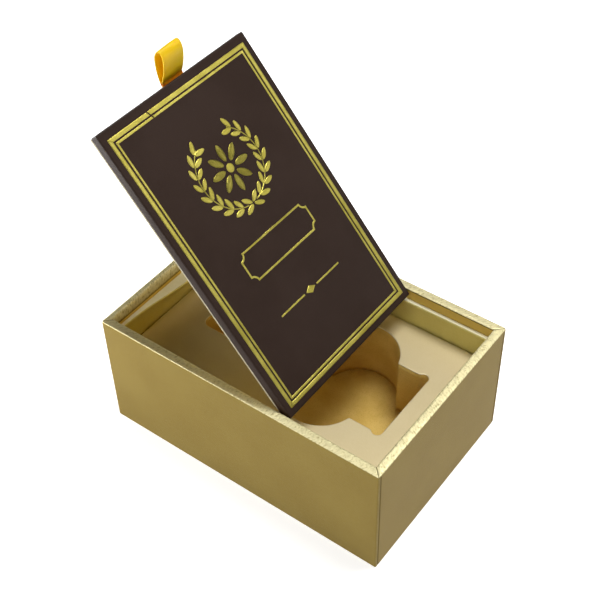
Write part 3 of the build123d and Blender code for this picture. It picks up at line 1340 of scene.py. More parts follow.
@dataclass
class CutOut:
    """Bottle well: a body with corner ears, a finger notch across it and a cap slot."""

    low: np.ndarray
    high: np.ndarray
    end_wall: float = 10.2
    half_width: float = 15.5
    ear_radius: float = 2.1
    ear_inset: float = 2.0
    ear_overhang: float = 1.2
    ear_points: int = 16
    notch_half_length: float = 26.8
    notch_radius: float = 14.8
    notch_points: int = 48
    slot_length: float = 29.1
    slot_half_width: float = 9.7
    slot_round: float = 3.0
    slot_points: int = 10
    slot_end_wall: float = 14.7
    border_corner: float = 1.2
    border_points: int = 6
    border_softness: float = 0.1
    spacing: float = 0.45
    softness: float = 0.4

    def outline(self) -> np.ndarray:
        """Counterclockwise outline of the cut-out.

        Returns:
            Evenly spaced points.
        """
        end = self.high[0] - self.end_wall
        slot_end = self.low[0] + self.slot_end_wall
        shoulder = slot_end + self.slot_length
        middle = (end + shoulder) / 2
        ear = (end - self.ear_inset, self.half_width + self.ear_overhang - self.ear_radius)
        ear_start = -math.degrees(math.acos(self.ear_inset / self.ear_radius))
        ear_end = 180 - math.degrees(math.asin((self.half_width - ear[1]) / self.ear_radius))
        rise = self.notch_half_length - self.notch_radius
        start = math.degrees(math.asin((self.half_width - rise) / self.notch_radius))
        slot_centre = (slot_end + self.slot_round, self.slot_half_width - self.slot_round)
        upper = np.vstack(
            [
                arc(ear, self.ear_radius, ear_start, ear_end, self.ear_points),
                arc((middle, rise), self.notch_radius, start, 180 - start, self.notch_points),
                [(shoulder, self.half_width), (shoulder, self.slot_half_width)],
                arc(slot_centre, self.slot_round, 90, 180, self.slot_points),
            ]
        )
        lower = upper[::-1] * np.array([1.0, -1.0])
        return softened(np.vstack([upper, lower]), self.spacing, self.softness)

    def border(self) -> np.ndarray:
        """Counterclockwise outline of the insert, in evenly spaced points."""
        outline = rounded_rectangle(self.high[:2], self.border_corner, self.border_points)
        return softened(outline, self.spacing, self.border_softness)

    def depth_inside(self, places: np.ndarray) -> np.ndarray:
        """How far places lie inside the cut-out.

        Args:
            places: Points in the plane.

        Returns:
            Distance to the outline, 0 outside it.
        """
        outline = self.outline()
        after = np.roll(outline, -1, axis=0)
        nearest = np.full(len(places), np.inf)
        inside = np.zeros(len(places), bool)
        for a, b in zip(outline, after):
            nearest = np.minimum(nearest, np.hypot(*(places - a).T))
            crosses = (a[1] > places[:, 1]) != (b[1] > places[:, 1])
            slant = (places[:, 1] - a[1]) / (b[1] - a[1] + TINY)
            inside ^= crosses & (places[:, 0] < a[0] + slant * (b[0] - a[0]))
        return np.where(inside, nearest, 0.0)


@dataclass
class Insert:
    """Foam insert in three layers: base pad, block with the bottle well, cream face sheet.

    A step of the face sheet's edges says how far it lies outwards and how far down, both in shares of
    the sheet's rounding, and its fold mark.
    """

    finishes: FinishSet
    sheet_round: float = 0.16
    rim_steps: tuple[Step, ...] = (
        (0.0, 2.0, 1.0),
        (-0.35, 0.8, 1.0),
        (-1.5, 0.15, 0.6),
        (-3.0, 0.0, 0.2),
        (-4.0, 0.0, 0.0),
    )
    hole_steps: tuple[Step, ...] = ((2.2, 0.0, 0.0), (1.2, 0.0, 0.4), (0.4, 0.3, 1.0), (0.0, 1.0, 1.0))
    hole_foot_mark: float = 0.4
    wall_rows: int = 14
    block_bulge: float = 0.25
    block_wave: float = 0.06
    wave_length: float = 7.0
    wave_height: float = 5.0
    wave_seed: float = 7.5
    block_lip: float = 0.5
    block_foot: float = 0.6
    block_ease: float = 0.5
    block_gap: float = 0.1
    pad_bulge: float = 0.45
    pad_reach: float = 4.0
    pad_step: float = 0.8
    pad_inset: float = 0.3
    pad_edge: float = 8.0
    pad_drop: float = 0.5
    clearance: float = 0.05

    def build(self) -> None:
        """Make the three layers."""
        self.make_face()
        self.make_block()
        self.make_pad()

    def stepped(self, outline: np.ndarray, top: float, steps: Sequence[Step]) -> list[np.ndarray]:
        """Loops at the steps of one of the face sheet's edges, below the height of its upper face."""
        soft = self.sheet_round
        return [at_height(moved_out(outline, out * soft), top - drop * soft) for out, drop, _ in steps]

    def make_face(self) -> None:
        """Make the cream face sheet with soft cut edges."""
        low, high = node_box("insert_face_sheet")
        cut = CutOut(low, high)
        hole, rim = cut.outline(), cut.border()
        rim_loops = [at_height(rim, low[2]), *self.stepped(rim, high[2], self.rim_steps)]
        hole_loops = [*self.stepped(hole, high[2], self.hole_steps), at_height(hole, low[2])]
        draft = Draft()
        outer = draft.add_loops(rim_loops, [0.0, *(mark for _, _, mark in self.rim_steps)])
        inner = draft.add_loops(hole_loops, [*(mark for _, _, mark in self.hole_steps), self.hole_foot_mark])
        draft.fill_ends(outer, inner)
        piece = draft.make("insert_cream_face", self.finishes.cream)
        settle(piece, Body.TRAY, "insert_face_sheet")

    def make_block(self) -> None:
        """Make the foam block, whose cut walls bulge and waver a little."""
        low, high = node_box("insert_block")
        cut = CutOut(low, high)
        hole, rim = cut.outline(), cut.border()
        top, bottom = high[2] - self.clearance, low[2] + self.clearance
        run = np.arange(len(hole)) * cut.spacing / self.wave_length
        outward = moved_out(hole, 1.0) - hole
        hole_loops = [at_height(moved_out(hole, self.block_lip), top)]
        for share in np.linspace(0.0, 1.0, self.wall_rows):
            level = top + (bottom - top) * share
            rows = np.full(len(run), level / self.wave_height)
            ripple = wave(np.column_stack([run, rows]), self.wave_seed)
            pinch = self.block_bulge * math.sin(math.pi * share) + self.block_wave * ripple
            hole_loops.append(at_height(hole - outward * pinch[:, None], level))
        rim_steps = (
            (self.block_foot, bottom),
            (self.block_gap, bottom + self.block_ease),
            (self.block_bulge, (top + bottom) / 2),
            (self.block_gap, top - self.block_ease),
            (self.block_lip, top),
        )
        draft = Draft()
        outer = draft.add_loops([at_height(moved_out(rim, -inset), level) for inset, level in rim_steps])
        inner = draft.add_loops(hole_loops)
        draft.fill_ends(outer, inner)
        piece = draft.make("insert_foam_block", self.finishes.foam)
        settle(piece, Body.TRAY, "insert_block")

    def make_pad(self) -> None:
        """Make the base pad, which swells up a little where the well leaves it free."""
        low, high = node_box("insert_pad")
        cut = CutOut(*node_box("insert_block"))
        columns, rows = ((high - low)[:2] / self.pad_step).astype(int)
        x, y = np.meshgrid(np.linspace(-1, 1, columns), np.linspace(-1, 1, rows))
        side = np.clip(self.pad_edge * (1 - np.maximum(np.abs(x), np.abs(y))), 0.0, 1.0)
        places = np.stack([x, y], axis=-1) * (high[:2] - self.pad_inset)
        inside = cut.depth_inside(places.reshape(-1, 2)).reshape(x.shape)
        swell = self.pad_bulge * (1 - np.exp(-((inside / self.pad_reach) ** 2)))
        eased = self.pad_drop * (1 - side) ** 2
        heights = (high[2] - self.clearance - eased + swell, low[2] + self.clearance + eased)
        draft = Draft()
        layers = [np.concatenate([places, height[..., None]], axis=-1) for height in heights]
        top, base = (draft.add_points(layer, places) for layer in layers)
        draft.add_quads(top)
        draft.add_quads(base[::-1])
        edges = [np.concatenate([n[0, :-1], n[:-1, -1], n[-1, :0:-1], n[:0:-1, 0]]) for n in (base, top)]
        draft.add_quads(np.stack(edges), closed=True)
        piece = draft.make("insert_base_pad", self.finishes.foam)
        settle(piece, Body.TRAY, "insert_pad")


# Lid


@dataclass
class LidFrame:
    """The lid's own directions: up its slope, across it, and out of its top face."""

    origin: np.ndarray = field(init=False)
    axes: np.ndarray = field(init=False)

    def __post_init__(self) -> None:
        """Read the directions from the lid's joint and the place from the lid's wrap."""
        lift = next(joint for joint in frame["joints"] if joint["name"] == "lid_lift")
        slope = np.array(lift["axis"], float)
        slope /= np.linalg.norm(slope)
        across = np.array([0.0, -1.0, 0.0])
        self.axes = np.stack([slope, across, np.cross(slope, across)])
        self.origin = np.zeros(3)
        low, high = self.span("lid_wrap")
        centre = (low + high) / 2
        self.origin = self.world(np.array([centre[0], centre[1], high[2]]))

    @property
    def slope(self) -> np.ndarray:
        """Direction up the slope."""
        return self.axes[0]

    @property
    def outward(self) -> np.ndarray:
        """Direction out of the top face."""
        return self.axes[2]

    def world(self, points: np.ndarray) -> np.ndarray:
        """Points in the frame from points up the slope, across and outward."""
        return self.origin + points @ self.axes

    def span(self, node: str) -> tuple[np.ndarray, np.ndarray]:
        """Lowest and highest place of a CAD node on the lid."""
        places = (node_points(node) - self.origin) @ self.axes.T
        return places.min(axis=0), places.max(axis=0)

    def matrix(self) -> Matrix:
        """Work out where a mesh in the lid's own directions goes.

        Returns:
            Matrix from millimetres on the lid to metres in the frame.
        """
        columns = np.eye(4)
        columns[:3, :3] = self.axes.T * MM
        columns[:3, 3] = self.origin * MM
        return Matrix(columns.tolist())

    def make(self, draft: Draft, name: str, finish: bpy.types.Material) -> bpy.types.Object:
        """Make a piece whose draft is in the lid's own directions."""
        draft.points = [self.world(points) for points in draft.points]
        return draft.make(name, finish)


@dataclass
class RoundedSlab:
    """A slab with rounded edges and corners, in the lid's own directions."""

    low: np.ndarray
    high: np.ndarray
    edge: float
    corner: float
    corner_points: int = 7
    edge_points: int = 6
    flat_start: float = 1.3

    def loops(self) -> list[np.ndarray]:
        """Closed loops from the lower face to the upper face.

        Returns:
            The loops, counterclockwise seen from above.
        """
        low, high = self.low, self.high
        outline = rounded_rectangle((high - low)[:2] / 2, self.corner, self.corner_points)
        outline += (low + high)[:2] / 2
        quarter = np.linspace(0.0, math.pi / 2, self.edge_points)
        inset = self.edge * np.append(self.flat_start, 1 - np.sin(quarter))
        rise = self.edge * np.append(0.0, 1 - np.cos(quarter))
        steps = list(zip(inset, rise))
        lower = [at_height(moved_out(outline, -i), low[2] + r) for i, r in steps]
        upper = [at_height(moved_out(outline, -i), high[2] - r) for i, r in steps]
        return lower + upper[::-1]

    def draft(self, folds: Sequence[float] | None = None) -> Draft:
        """Closed draft of the slab.

        Args:
            folds: Fold mark of each loop.

        Returns:
            The draft.
        """
        made = Draft()
        numbers = made.add_loops(self.loops(), folds)
        made.fill([numbers[-1]], up=True)
        made.fill([numbers[0]], up=False)
        return made


@dataclass
class Lid:
    """Loose lid: board in dark paper, with a pale board underneath."""

    finishes: FinishSet
    place: LidFrame
    paper: float = 0.2
    edge: float = 0.5
    corner: float = 0.45
    flap: float = 11.8
    lower_marks: tuple[float, ...] = (0.0, 0.0, 0.3, 0.6, 0.6, 0.3, 0.0)
    upper_marks: tuple[float, ...] = (0.0, 0.5, 1.0, 1.0, 0.5, 0.0, 0.0)
    under_edge: float = 0.18
    under_marks: tuple[float, ...] = (0.0, 0.0, 0.3, 0.6, 1.0, 1.0, 1.0)
    pocket_edge: float = 0.06
    pocket_gap: float = 0.3
    pocket_open: float = 1.0

    def build(self) -> None:
        """Make the lid's pieces and dress its board."""
        self.make_cover()
        self.make_liner()
        dress_node("lid_board", self.finishes.greyboard)

    def make_cover(self) -> None:
        """Make the dark wrap: top, rounded edges and flaps turned in underneath."""
        low, high = self.place.span("lid_wrap")
        loops = RoundedSlab(low, high, self.edge, self.corner).loops()
        flap = loops[0].copy()
        middle = (low + high)[:2] / 2
        half = (high - low)[:2] / 2
        flap[:, :2] = middle + (flap[:, :2] - middle) * (half - self.flap) / half
        draft = Draft()
        numbers = draft.add_loops([flap, *loops], [0.0, *self.lower_marks, *self.upper_marks])
        draft.fill([numbers[-1]], up=True)
        piece = self.place.make(draft, "lid_dark_wrap", self.finishes.dark_paper)
        thicken(piece, self.paper)
        settle(piece, Body.LID, "lid_wrap")

    def make_liner(self) -> None:
        """Make the pale under board with its pocket for the ribbon's tail."""
        board = RoundedSlab(*self.place.span("lid_under_board"), self.under_edge, self.corner)
        draft = board.draft([*self.under_marks, *self.under_marks[::-1]])
        piece = self.place.make(draft, "lid_pale_liner", self.finishes.pale_board)
        tail_low, tail_high = self.place.span("ribbon_tail")
        pocket_low = tail_low - np.array([self.pocket_gap, self.pocket_gap, 0.0])
        pocket_high = tail_high + np.array([self.pocket_open, self.pocket_gap, self.pocket_open])
        pocket = RoundedSlab(pocket_low, pocket_high, self.pocket_edge, self.under_edge)
        cutter = self.place.make(pocket.draft(), "tail_pocket", self.finishes.pale_board)
        cut = piece.modifiers.new("pocket", "BOOLEAN")
        cut.operation = "DIFFERENCE"
        cut.object = cutter
        apply_modifiers(piece)
        bpy.data.objects.remove(cutter)
        settle(piece, Body.LID, "lid_under_board")


# Gold foil


class LeafTree:
    """Geometry Nodes tree that sets leaves along both sides of an arc, with a stem on the arc."""

    KINDS = {float: "NodeSocketFloat", int: "NodeSocketInt", type(None): "NodeSocketMaterial"}
    INPUTS = {
        "Radius": 10.0,
        "Start": 0.0,
        "Sweep": 1.0,
        "Leaves": 8,
        "Leaf Length": 4.0,
        "Leaf Width": 1.5,
        "Spread": 1.5,
        "Turn": 0.5,
        "Stem Width": 0.4,
        "Uneven": 0.06,
        "Seed": 4,
        "Finish": None,
    }
    ARC_POINTS = 64
    LEAF_POINTS = (15, 7)
    LEAF_PLUMPNESS = 0.62
    LEAF_DOME = 0.16

    def __init__(self) -> None:
        """Build the tree."""
        self.tree = bpy.data.node_groups.new("leaves along an arc", "GeometryNodeTree")
        interface = self.tree.interface
        for way in ("INPUT", "OUTPUT"):
            interface.new_socket(name="Geometry", in_out=way, socket_type="NodeSocketGeometry")
        self.keys: dict[str, str] = {}
        for name, value in self.INPUTS.items():
            kind = self.KINDS[type(value)]
            socket = interface.new_socket(name=name, in_out="INPUT", socket_type=kind)
            if value is not None:
                socket.default_value = value
            self.keys[name] = socket.identifier
        self.graph = Graph(self.tree)
        self.source = self.graph.add("NodeGroupInput").outputs
        self.fill()

    def position(self) -> Any:
        """Sockets of the coordinates of each point."""
        place = self.graph.add("GeometryNodeInputPosition").outputs[0]
        return self.graph.add("ShaderNodeSeparateXYZ", {0: place}).outputs

    def leaf(self) -> Socket:
        """Build one domed leaf with a pressed middle vein.

        Returns:
            The leaf's geometry socket.
        """
        graph, source = self.graph, self.source
        counts = dict(zip(("Vertices X", "Vertices Y"), self.LEAF_POINTS))
        sizes = {"Size X": source["Leaf Length"], "Size Y": 2.0, **counts}
        grid = graph.add("GeometryNodeMeshGrid", sizes).outputs["Mesh"]
        place = self.position()
        share = graph.math("DIVIDE", place["X"], graph.times(source["Leaf Length"], 0.5))
        square = graph.math("SUBTRACT", 1.0, graph.times(share, share), clamp=True)
        plump = graph.math("POWER", square, self.LEAF_PLUMPNESS)
        half_width = graph.times(graph.times(source["Leaf Width"], 0.5), plump)
        vein = graph.math("ABSOLUTE", place["Y"])
        dome = graph.times(graph.times(vein, graph.math("SUBTRACT", 1.0, vein)), self.LEAF_DOME)
        target = graph.vector(place["X"], graph.times(place["Y"], half_width), dome)
        return graph.add("GeometryNodeSetPosition", {"Geometry": grid, "Position": target}).outputs[0]

    def stem(self, bow: Socket) -> Socket:
        """Build the stem along the arc.

        Args:
            bow: The arc.

        Returns:
            The stem's geometry socket.
        """
        graph = self.graph
        half = graph.times(self.source["Stem Width"], 0.5)
        ends = {"Start": graph.vector(graph.times(half, -1.0)), "End": graph.vector(half)}
        line = graph.add("GeometryNodeCurvePrimitiveLine", ends).outputs["Curve"]
        return graph.add("GeometryNodeCurveToMesh", {"Curve": bow, "Profile Curve": line}).outputs[0]

    def fill(self) -> None:
        """Build the arc, its stem and the two rows of leaves."""
        graph, source = self.graph, self.source
        span = {
            "Radius": source["Radius"],
            "Start Angle": source["Start"],
            "Sweep Angle": source["Sweep"],
            "Resolution": self.ARC_POINTS,
        }
        bow = graph.add("GeometryNodeCurveArc", span, mode="RADIUS").outputs["Curve"]
        row = graph.add("GeometryNodeCurveToPoints", {"Curve": bow, "Count": source["Leaves"]}, mode="COUNT")
        points = row.outputs["Points"]
        leaf = self.leaf()
        joined = graph.add("GeometryNodeJoinGeometry")
        graph.put(joined.inputs[0], source["Geometry"])
        graph.put(joined.inputs[0], self.stem(bow))
        place = self.position()
        bearing = graph.math("ARCTAN2", place["Y"], place["X"])
        way = graph.math("SIGN", source["Sweep"])
        onward = graph.plus(bearing, graph.times(way, math.pi / 2))
        for number, hand in enumerate((1.0, -1.0)):
            turn = graph.times(graph.times(source["Turn"], -hand), way)
            size = graph.add("FunctionNodeRandomValue", data_type="FLOAT")
            least, most = (graph.math(sign, 1.0, source["Uneven"]) for sign in ("SUBTRACT", "ADD"))
            graph.feed(size, {2: least, 3: most, "Seed": graph.plus(source["Seed"], float(number))})
            reach = graph.times(source["Spread"], hand)
            shift = [graph.times(graph.math(part, bearing), reach) for part in ("COSINE", "SINE")]
            moved = {"Geometry": points, "Offset": graph.vector(*shift)}
            leaves = {
                "Points": graph.add("GeometryNodeSetPosition", moved).outputs[0],
                "Instance": leaf,
                "Rotation": graph.vector(z=graph.plus(onward, turn)),
                "Scale": size.outputs[1],
            }
            graph.put(joined.inputs[0], graph.add("GeometryNodeInstanceOnPoints", leaves).outputs[0])
        real = graph.add("GeometryNodeRealizeInstances", {0: joined.outputs[0]}).outputs[0]
        dressing = {"Geometry": real, "Material": source["Finish"]}
        dressed = graph.add("GeometryNodeSetMaterial", dressing).outputs[0]
        graph.add("NodeGroupOutput", {0: dressed})

    def put_on(self, piece: bpy.types.Object, **values: Any) -> None:
        """Add the tree to a piece as a modifier.

        Args:
            piece: The piece.
            **values: Inputs by name, with spaces written as underscores.
        """
        modifier = piece.modifiers.new("leaves", "NODES")
        modifier.node_group = self.tree
        for key, value in values.items():
            modifier[self.keys[key.replace("_", " ").title()]] = value


@dataclass
class FoilDecoration:
    """Gold foil on the lid: double border, wreath, rosette, bare panel frame and rule."""

    finishes: FinishSet
    place: LidFrame
    thickness: float = 0.05
    ragged: float = 0.05
    ragged_length: float = 0.55
    strip_shares: tuple[float, ...] = (0.0, 0.2, 0.5, 0.8, 1.0)
    edge_seeds: Span = (0.0, 50.0)
    step: float = 0.3
    least_points: int = 4
    border_wide: float = 1.5
    border_narrow: float = 0.8
    border_seed: float = 11.0
    break_side: int = 3
    break_share: float = 0.27
    break_width: float = 0.4
    wreath_radius: float = 14.0
    wreath_leaves: int = 9
    wreath_open: float = 34.0
    wreath_foot: float = 9.0
    wreath_seed: int = 4
    leaf_length: float = 4.4
    leaf_width: float = 1.8
    leaf_spread: float = 1.5
    leaf_turn: float = 32.0
    stem_width: float = 0.42
    petals: int = 8
    petal_length: float = 6.4
    petal_width: float = 2.6
    petal_gap: float = 0.9
    eye_radius: float = 1.6
    eye_points: int = 32
    eye_rings: tuple[Span, ...] = ((1.0, 0.0), (0.9, 0.03), (0.6, 0.06), (0.25, 0.07))
    panel_line: float = 0.7
    panel_corner: float = 2.2
    panel_points: int = 14
    panel_seed: float = 21.0
    rule_line: float = 0.6
    rule_length: float = 13.0
    rule_points: int = 44
    rule_seed: float = 31.0
    lozenge_height: float = 3.0
    lozenge_half: float = 2.5
    lozenge_points: int = 17
    lozenge_tip: float = 0.02
    lozenge_seed: float = 35.0

    def build(self) -> None:
        """Make every foil piece."""
        self.make_border("wide_border_foil", self.border_wide)
        self.make_border("narrow_border_foil", self.border_narrow)
        tree = LeafTree()
        self.make_wreath(tree)
        self.make_rosette(tree)
        self.make_panel()
        self.make_rule()

    def strip(self, draft: Draft, outer: np.ndarray, inner: np.ndarray, seed: float) -> None:
        """Add a strip of foil between two lines, with ragged edges.

        Args:
            draft: Draft to add to.
            outer: Points of one edge.
            inner: Points of the other edge.
            seed: Picks the raggedness.
        """
        shares = np.array(self.strip_shares)[:, None, None]
        rows = outer * (1 - shares) + inner * shares
        run = run_along(outer) / self.ragged_length
        across = inner - outer
        across /= np.linalg.norm(across, axis=1, keepdims=True)
        for row, number in zip((0, -1), self.edge_seeds):
            jitter = wave(np.column_stack([run, np.full(len(run), number)]), seed)
            rows[row] += across * (self.ragged * jitter)[:, None]
        points = np.concatenate([rows, np.zeros((*rows.shape[:-1], 1))], axis=-1)
        draft.add_grid(points, rows)

    def finish_piece(self, draft: Draft, node: str) -> None:
        """Turn a flat draft into a foil piece on the lid.

        Args:
            draft: Draft in the lid's own directions.
            node: CAD node that it stands for.
        """
        piece = self.place.make(draft, f"{node}_stamped", self.finishes.foil)
        thicken(piece, self.thickness, 1.0)
        settle(piece, Body.LID, node)

    def make_border(self, node: str, line: float) -> None:
        """Make one line of the border, with the small break that the stamp leaves in it.

        Args:
            node: CAD node of the border.
            line: Width of the line.
        """
        low, high = self.place.span(node)
        outer = np.array([(high[0], high[1]), (low[0], high[1]), (low[0], low[1]), (high[0], low[1])])
        inner = outer - np.sign(outer - (low[:2] + high[:2]) / 2) * line
        draft = Draft()
        for k in range(len(outer)):
            after = (k + 1) % len(outer)
            a, b, c, d = outer[k], outer[after], inner[k], inner[after]
            length = np.linalg.norm(b - a)
            stretches = [(0.0, 1.0)]
            if k == self.break_side:
                gap = self.break_width / length / 2
                stretches = [(0.0, 1 - self.break_share - gap), (1 - self.break_share + gap, 1.0)]
            for start, end in stretches:
                count = max(self.least_points, int(length * (end - start) / self.step))
                shares = np.linspace(start, end, count)[:, None]
                seed = self.border_seed + k + line
                self.strip(draft, a + (b - a) * shares, c + (d - c) * shares, seed)
        self.finish_piece(draft, node)

    def leafy(
        self, node: str, base: bpy.types.Object, settings: Sequence[dict[str, Any]], tree: LeafTree
    ) -> None:
        """Grow leaves on a base piece and place it in the middle of the ornament on the lid.

        Args:
            node: CAD node that it stands for.
            base: Flat piece round the origin, with one unit for a millimetre.
            settings: Inputs of the leaf tree, one for each arc.
            tree: The leaf tree.
        """
        for values in settings:
            tree.put_on(base, finish=self.finishes.foil, **values)
        thicken(base, self.thickness / MM, 1.0)
        low, high = self.place.span("rosette_foil")
        centre = (low + high) / 2
        middle = Matrix.Translation((centre[0], centre[1], 0.0))
        base.data.transform(self.place.matrix() @ middle)
        base.data.shade_smooth()
        settle(base, Body.LID, node)

    def make_wreath(self, tree: LeafTree) -> None:
        """Make the wreath of two leafy stems, open at the top.

        Args:
            tree: The leaf tree.
        """
        foot = math.radians(self.wreath_foot)
        sweep = math.radians(180 - self.wreath_open) - foot
        common = {
            "radius": self.wreath_radius,
            "leaves": self.wreath_leaves,
            "leaf_length": self.leaf_length,
            "leaf_width": self.leaf_width,
            "spread": self.leaf_spread,
            "turn": math.radians(self.leaf_turn),
            "stem_width": self.stem_width,
        }
        arcs = [
            {**common, "start": math.pi + hand * foot, "sweep": hand * sweep, "seed": self.wreath_seed + hand}
            for hand in (1, -1)
        ]
        name = "wreath_foil_stamped"
        self.leafy("wreath_foil", new_object(name, bpy.data.meshes.new(name)), arcs, tree)

    def make_rosette(self, tree: LeafTree) -> None:
        """Make the rosette of petals round a domed eye.

        Args:
            tree: The leaf tree.
        """
        eye = Draft()
        rings = [at_height(circle(self.eye_radius * s, self.eye_points), h) / MM for s, h in self.eye_rings]
        numbers = eye.add_loops(rings)
        eye.fill([numbers[-1]], up=True)
        piece = eye.make("rosette_foil_stamped", self.finishes.foil)
        petals = {
            "radius": self.eye_radius + self.petal_gap + self.petal_length / 2,
            "start": 0.0,
            "sweep": math.tau * (self.petals - 1) / self.petals,
            "leaves": self.petals,
            "leaf_length": self.petal_length,
            "leaf_width": self.petal_width,
            "spread": 0.0,
            "turn": math.pi / 2,
            "stem_width": 0.0,
            "uneven": 0.0,
        }
        self.leafy("rosette_foil", piece, [petals], tree)

    def make_panel(self) -> None:
        """Make the bare panel frame with cut-in corners."""
        low, high = self.place.span("panel_foil")
        x, y = (high - low)[:2] / 2
        outlines = []
        for inset in (0.0, self.panel_line):
            radius = self.panel_corner + inset
            lean = math.degrees(math.asin(inset / radius))
            points = []
            for k, corner in enumerate([(x, y), (-x, y), (-x, -y), (x, -y)]):
                start, end = 270 + 90 * k - lean, 180 + 90 * k + lean
                points.append(arc(corner, radius, start, end, self.panel_points))
            outlines.append(np.vstack([*points, points[0][:1]]) + (low + high)[:2] / 2)
        draft = Draft()
        self.strip(draft, *outlines, self.panel_seed)
        self.finish_piece(draft, "panel_foil")

    def make_rule(self) -> None:
        """Make the rule: two fine lines with a lozenge between them."""
        low, high = self.place.span("rule_foil")
        centre = (low + high)[:2] / 2
        half = (high[1] - low[1]) / 2
        draft = Draft()
        for hand in (1.0, -1.0):
            run = np.linspace(half - self.rule_length, half, self.rule_points) * hand
            level = np.full(len(run), hand * self.rule_line / 2)
            edges = [np.column_stack([side, run]) + centre for side in (level, -level)]
            self.strip(draft, *edges, self.rule_seed + hand)
        reach = np.linspace(-1.0, 1.0, self.lozenge_points)
        width = self.lozenge_height / 2 * (1 - np.abs(reach)) + self.lozenge_tip
        edges = [np.column_stack([side, reach * self.lozenge_half]) + centre for side in (width, -width)]
        self.strip(draft, *edges, self.lozenge_seed)
        self.finish_piece(draft, "rule_foil")


# Ribbon


@dataclass
class RibbonPull:
    """Satin ribbon: both ends glued into the lid, the rest a loop that stands out of its end."""

    finishes: FinishSet
    place: LidFrame
    width: float = 10.0
    thickness: float = 0.26
    tail: float = 17.4
    tail_steps: Span = (3.0, 1.2)
    loop_height: float = 12.7
    loop_half_depth: float = 2.0
    loop_forward: float = 0.15
    climb: tuple[float, ...] = (0.04, 0.11, 0.2, 0.32, 0.45, 0.58, 0.7, 0.8, 0.88, 0.95, 0.99)
    widest_at: float = 0.7
    spread_power: float = 0.8
    twist: float = 0.045
    layer_gap: float = 0.15
    camber: float = 0.12
    camber_drop: float = 0.6
    camber_run: float = 6.0
    root_shade_length: float = 1.2
    columns: int = 15
    line_order: int = 3
    line_steps: int = 6

    def root(self) -> np.ndarray:
        """Place where the ribbon leaves the lid.

        Returns:
            A point on the hinge line, in the middle of the ribbon's width, in millimetres.
        """
        hinge = next(joint for joint in frame["joints"] if joint["name"] == "ribbon_flop")
        low, high = node_box("ribbon_loop")
        root = np.array(hinge["pos_m"], float) / MM
        root[1] = (low[1] + high[1]) / 2
        return root

    def guide(self) -> np.ndarray:
        """Guide points of the ribbon's line, from one glued end round the loop to the other.

        Returns:
            Points in the frame, along the middle of the ribbon.
        """
        root = self.root()
        out = self.place.outward * self.layer_gap
        climb = np.array(self.climb)
        below = np.sin(np.clip(climb / self.widest_at, 0, 1) * math.pi / 2) ** self.spread_power
        above = np.clip((climb - self.widest_at) / (1 - self.widest_at), 0, 1)
        depth = self.loop_half_depth * below * np.sqrt(1 - above**2)
        rise = np.concatenate([climb, [1.0], climb[::-1]])
        swing = np.concatenate([depth, [0.0], -depth[::-1]]) + self.loop_forward * rise
        loop = root + np.column_stack([swing, np.zeros(len(swing)), rise * self.loop_height])
        steps = (self.tail, self.tail / 2, *self.tail_steps)
        first = [root - self.place.slope * s + out for s in steps]
        last = [root - self.place.slope * s - out for s in reversed(steps)]
        return np.vstack([first, loop, last])

    def centreline(self) -> np.ndarray:
        """Smooth line of the ribbon through its guide points.

        Returns:
            Points in the frame, along the middle of the ribbon.
        """
        guide = self.guide()
        curve = bpy.data.curves.new("ribbon_line", "CURVE")
        curve.dimensions = "3D"
        spline = curve.splines.new("NURBS")
        spline.points.add(len(guide) - 1)
        for point, place in zip(spline.points, guide):
            point.co = (*place, 1.0)
        spline.order_u = self.line_order
        spline.use_endpoint_u = True
        spline.resolution_u = self.line_steps
        holder = bpy.data.objects.new("ribbon_line", curve)
        line = bpy.data.meshes.new_from_object(holder)
        points = np.array([v.co for v in line.vertices])
        bpy.data.objects.remove(holder)
        bpy.data.curves.remove(curve)
        bpy.data.meshes.remove(line)
        return points

    def build(self) -> None:
        """Make the ribbon as one sheet from one glued end round the loop to the other."""
        line = self.centreline()
        run = run_along(line)
        forward = np.gradient(line, axis=0)
        forward /= np.linalg.norm(forward, axis=1, keepdims=True)
        sideways = np.array([0.0, 1.0, 0.0])
        out = np.cross(sideways, forward)
        across = np.linspace(-0.5, 0.5, self.columns) * self.width
        out_of_lid = np.minimum(run, run[-1] - run) - self.tail
        leaving, arriving = run - self.tail, run[-1] - self.tail - run
        free = np.clip(leaving / self.camber_run, 0, 1) * np.clip(arriving / self.camber_run, 0, 1)
        bow = self.camber * (1 - (2 * across / self.width) ** 2) - self.camber_drop * self.camber
        lift = free[:, None] * bow
        points = line[:, None] + sideways * across[None, :, None] + out[:, None] * lift[..., None]
        root = self.root()
        height = np.clip((points[..., 2] - root[2]) / self.loop_height, 0, 1)
        points[..., 0] -= self.twist * across * height
        places = np.stack(np.broadcast_arrays(across[None, :], run[:, None]), axis=-1)
        # Painted shade on the ribbon close to where it goes into the lid, carried in the fold mark.
        root_shade = np.clip(1 - out_of_lid / self.root_shade_length, 0, 1)
        draft = Draft()
        draft.add_grid(points, places, root_shade[:, None])
        piece = draft.make("ribbon_pull", self.finishes.ribbon)
        thicken(piece, self.thickness, 0.0)
        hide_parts("ribbon_tail", "ribbon_loop")
        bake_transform(piece)
        LOG.info("%s is %.1f mm long", piece.name, run[-1])


# Studio


def aim_object(thing: bpy.types.Object, place: Place, aim: Place, roll: float = 0.0) -> None:
    """Put a lamp or camera in its place and aim it.

    Args:
        thing: The lamp or camera.
        place: Where it goes.
        aim: Where it looks.
        roll: Turn about its own axis in degrees.
    """
    thing.location = place
    thing.rotation_mode = "QUATERNION"
    turned = Quaternion((0.0, 0.0, 1.0), math.radians(roll))
    thing.rotation_quaternion = (Vector(aim) - Vector(place)).to_track_quat("-Z", "Y") @ turned


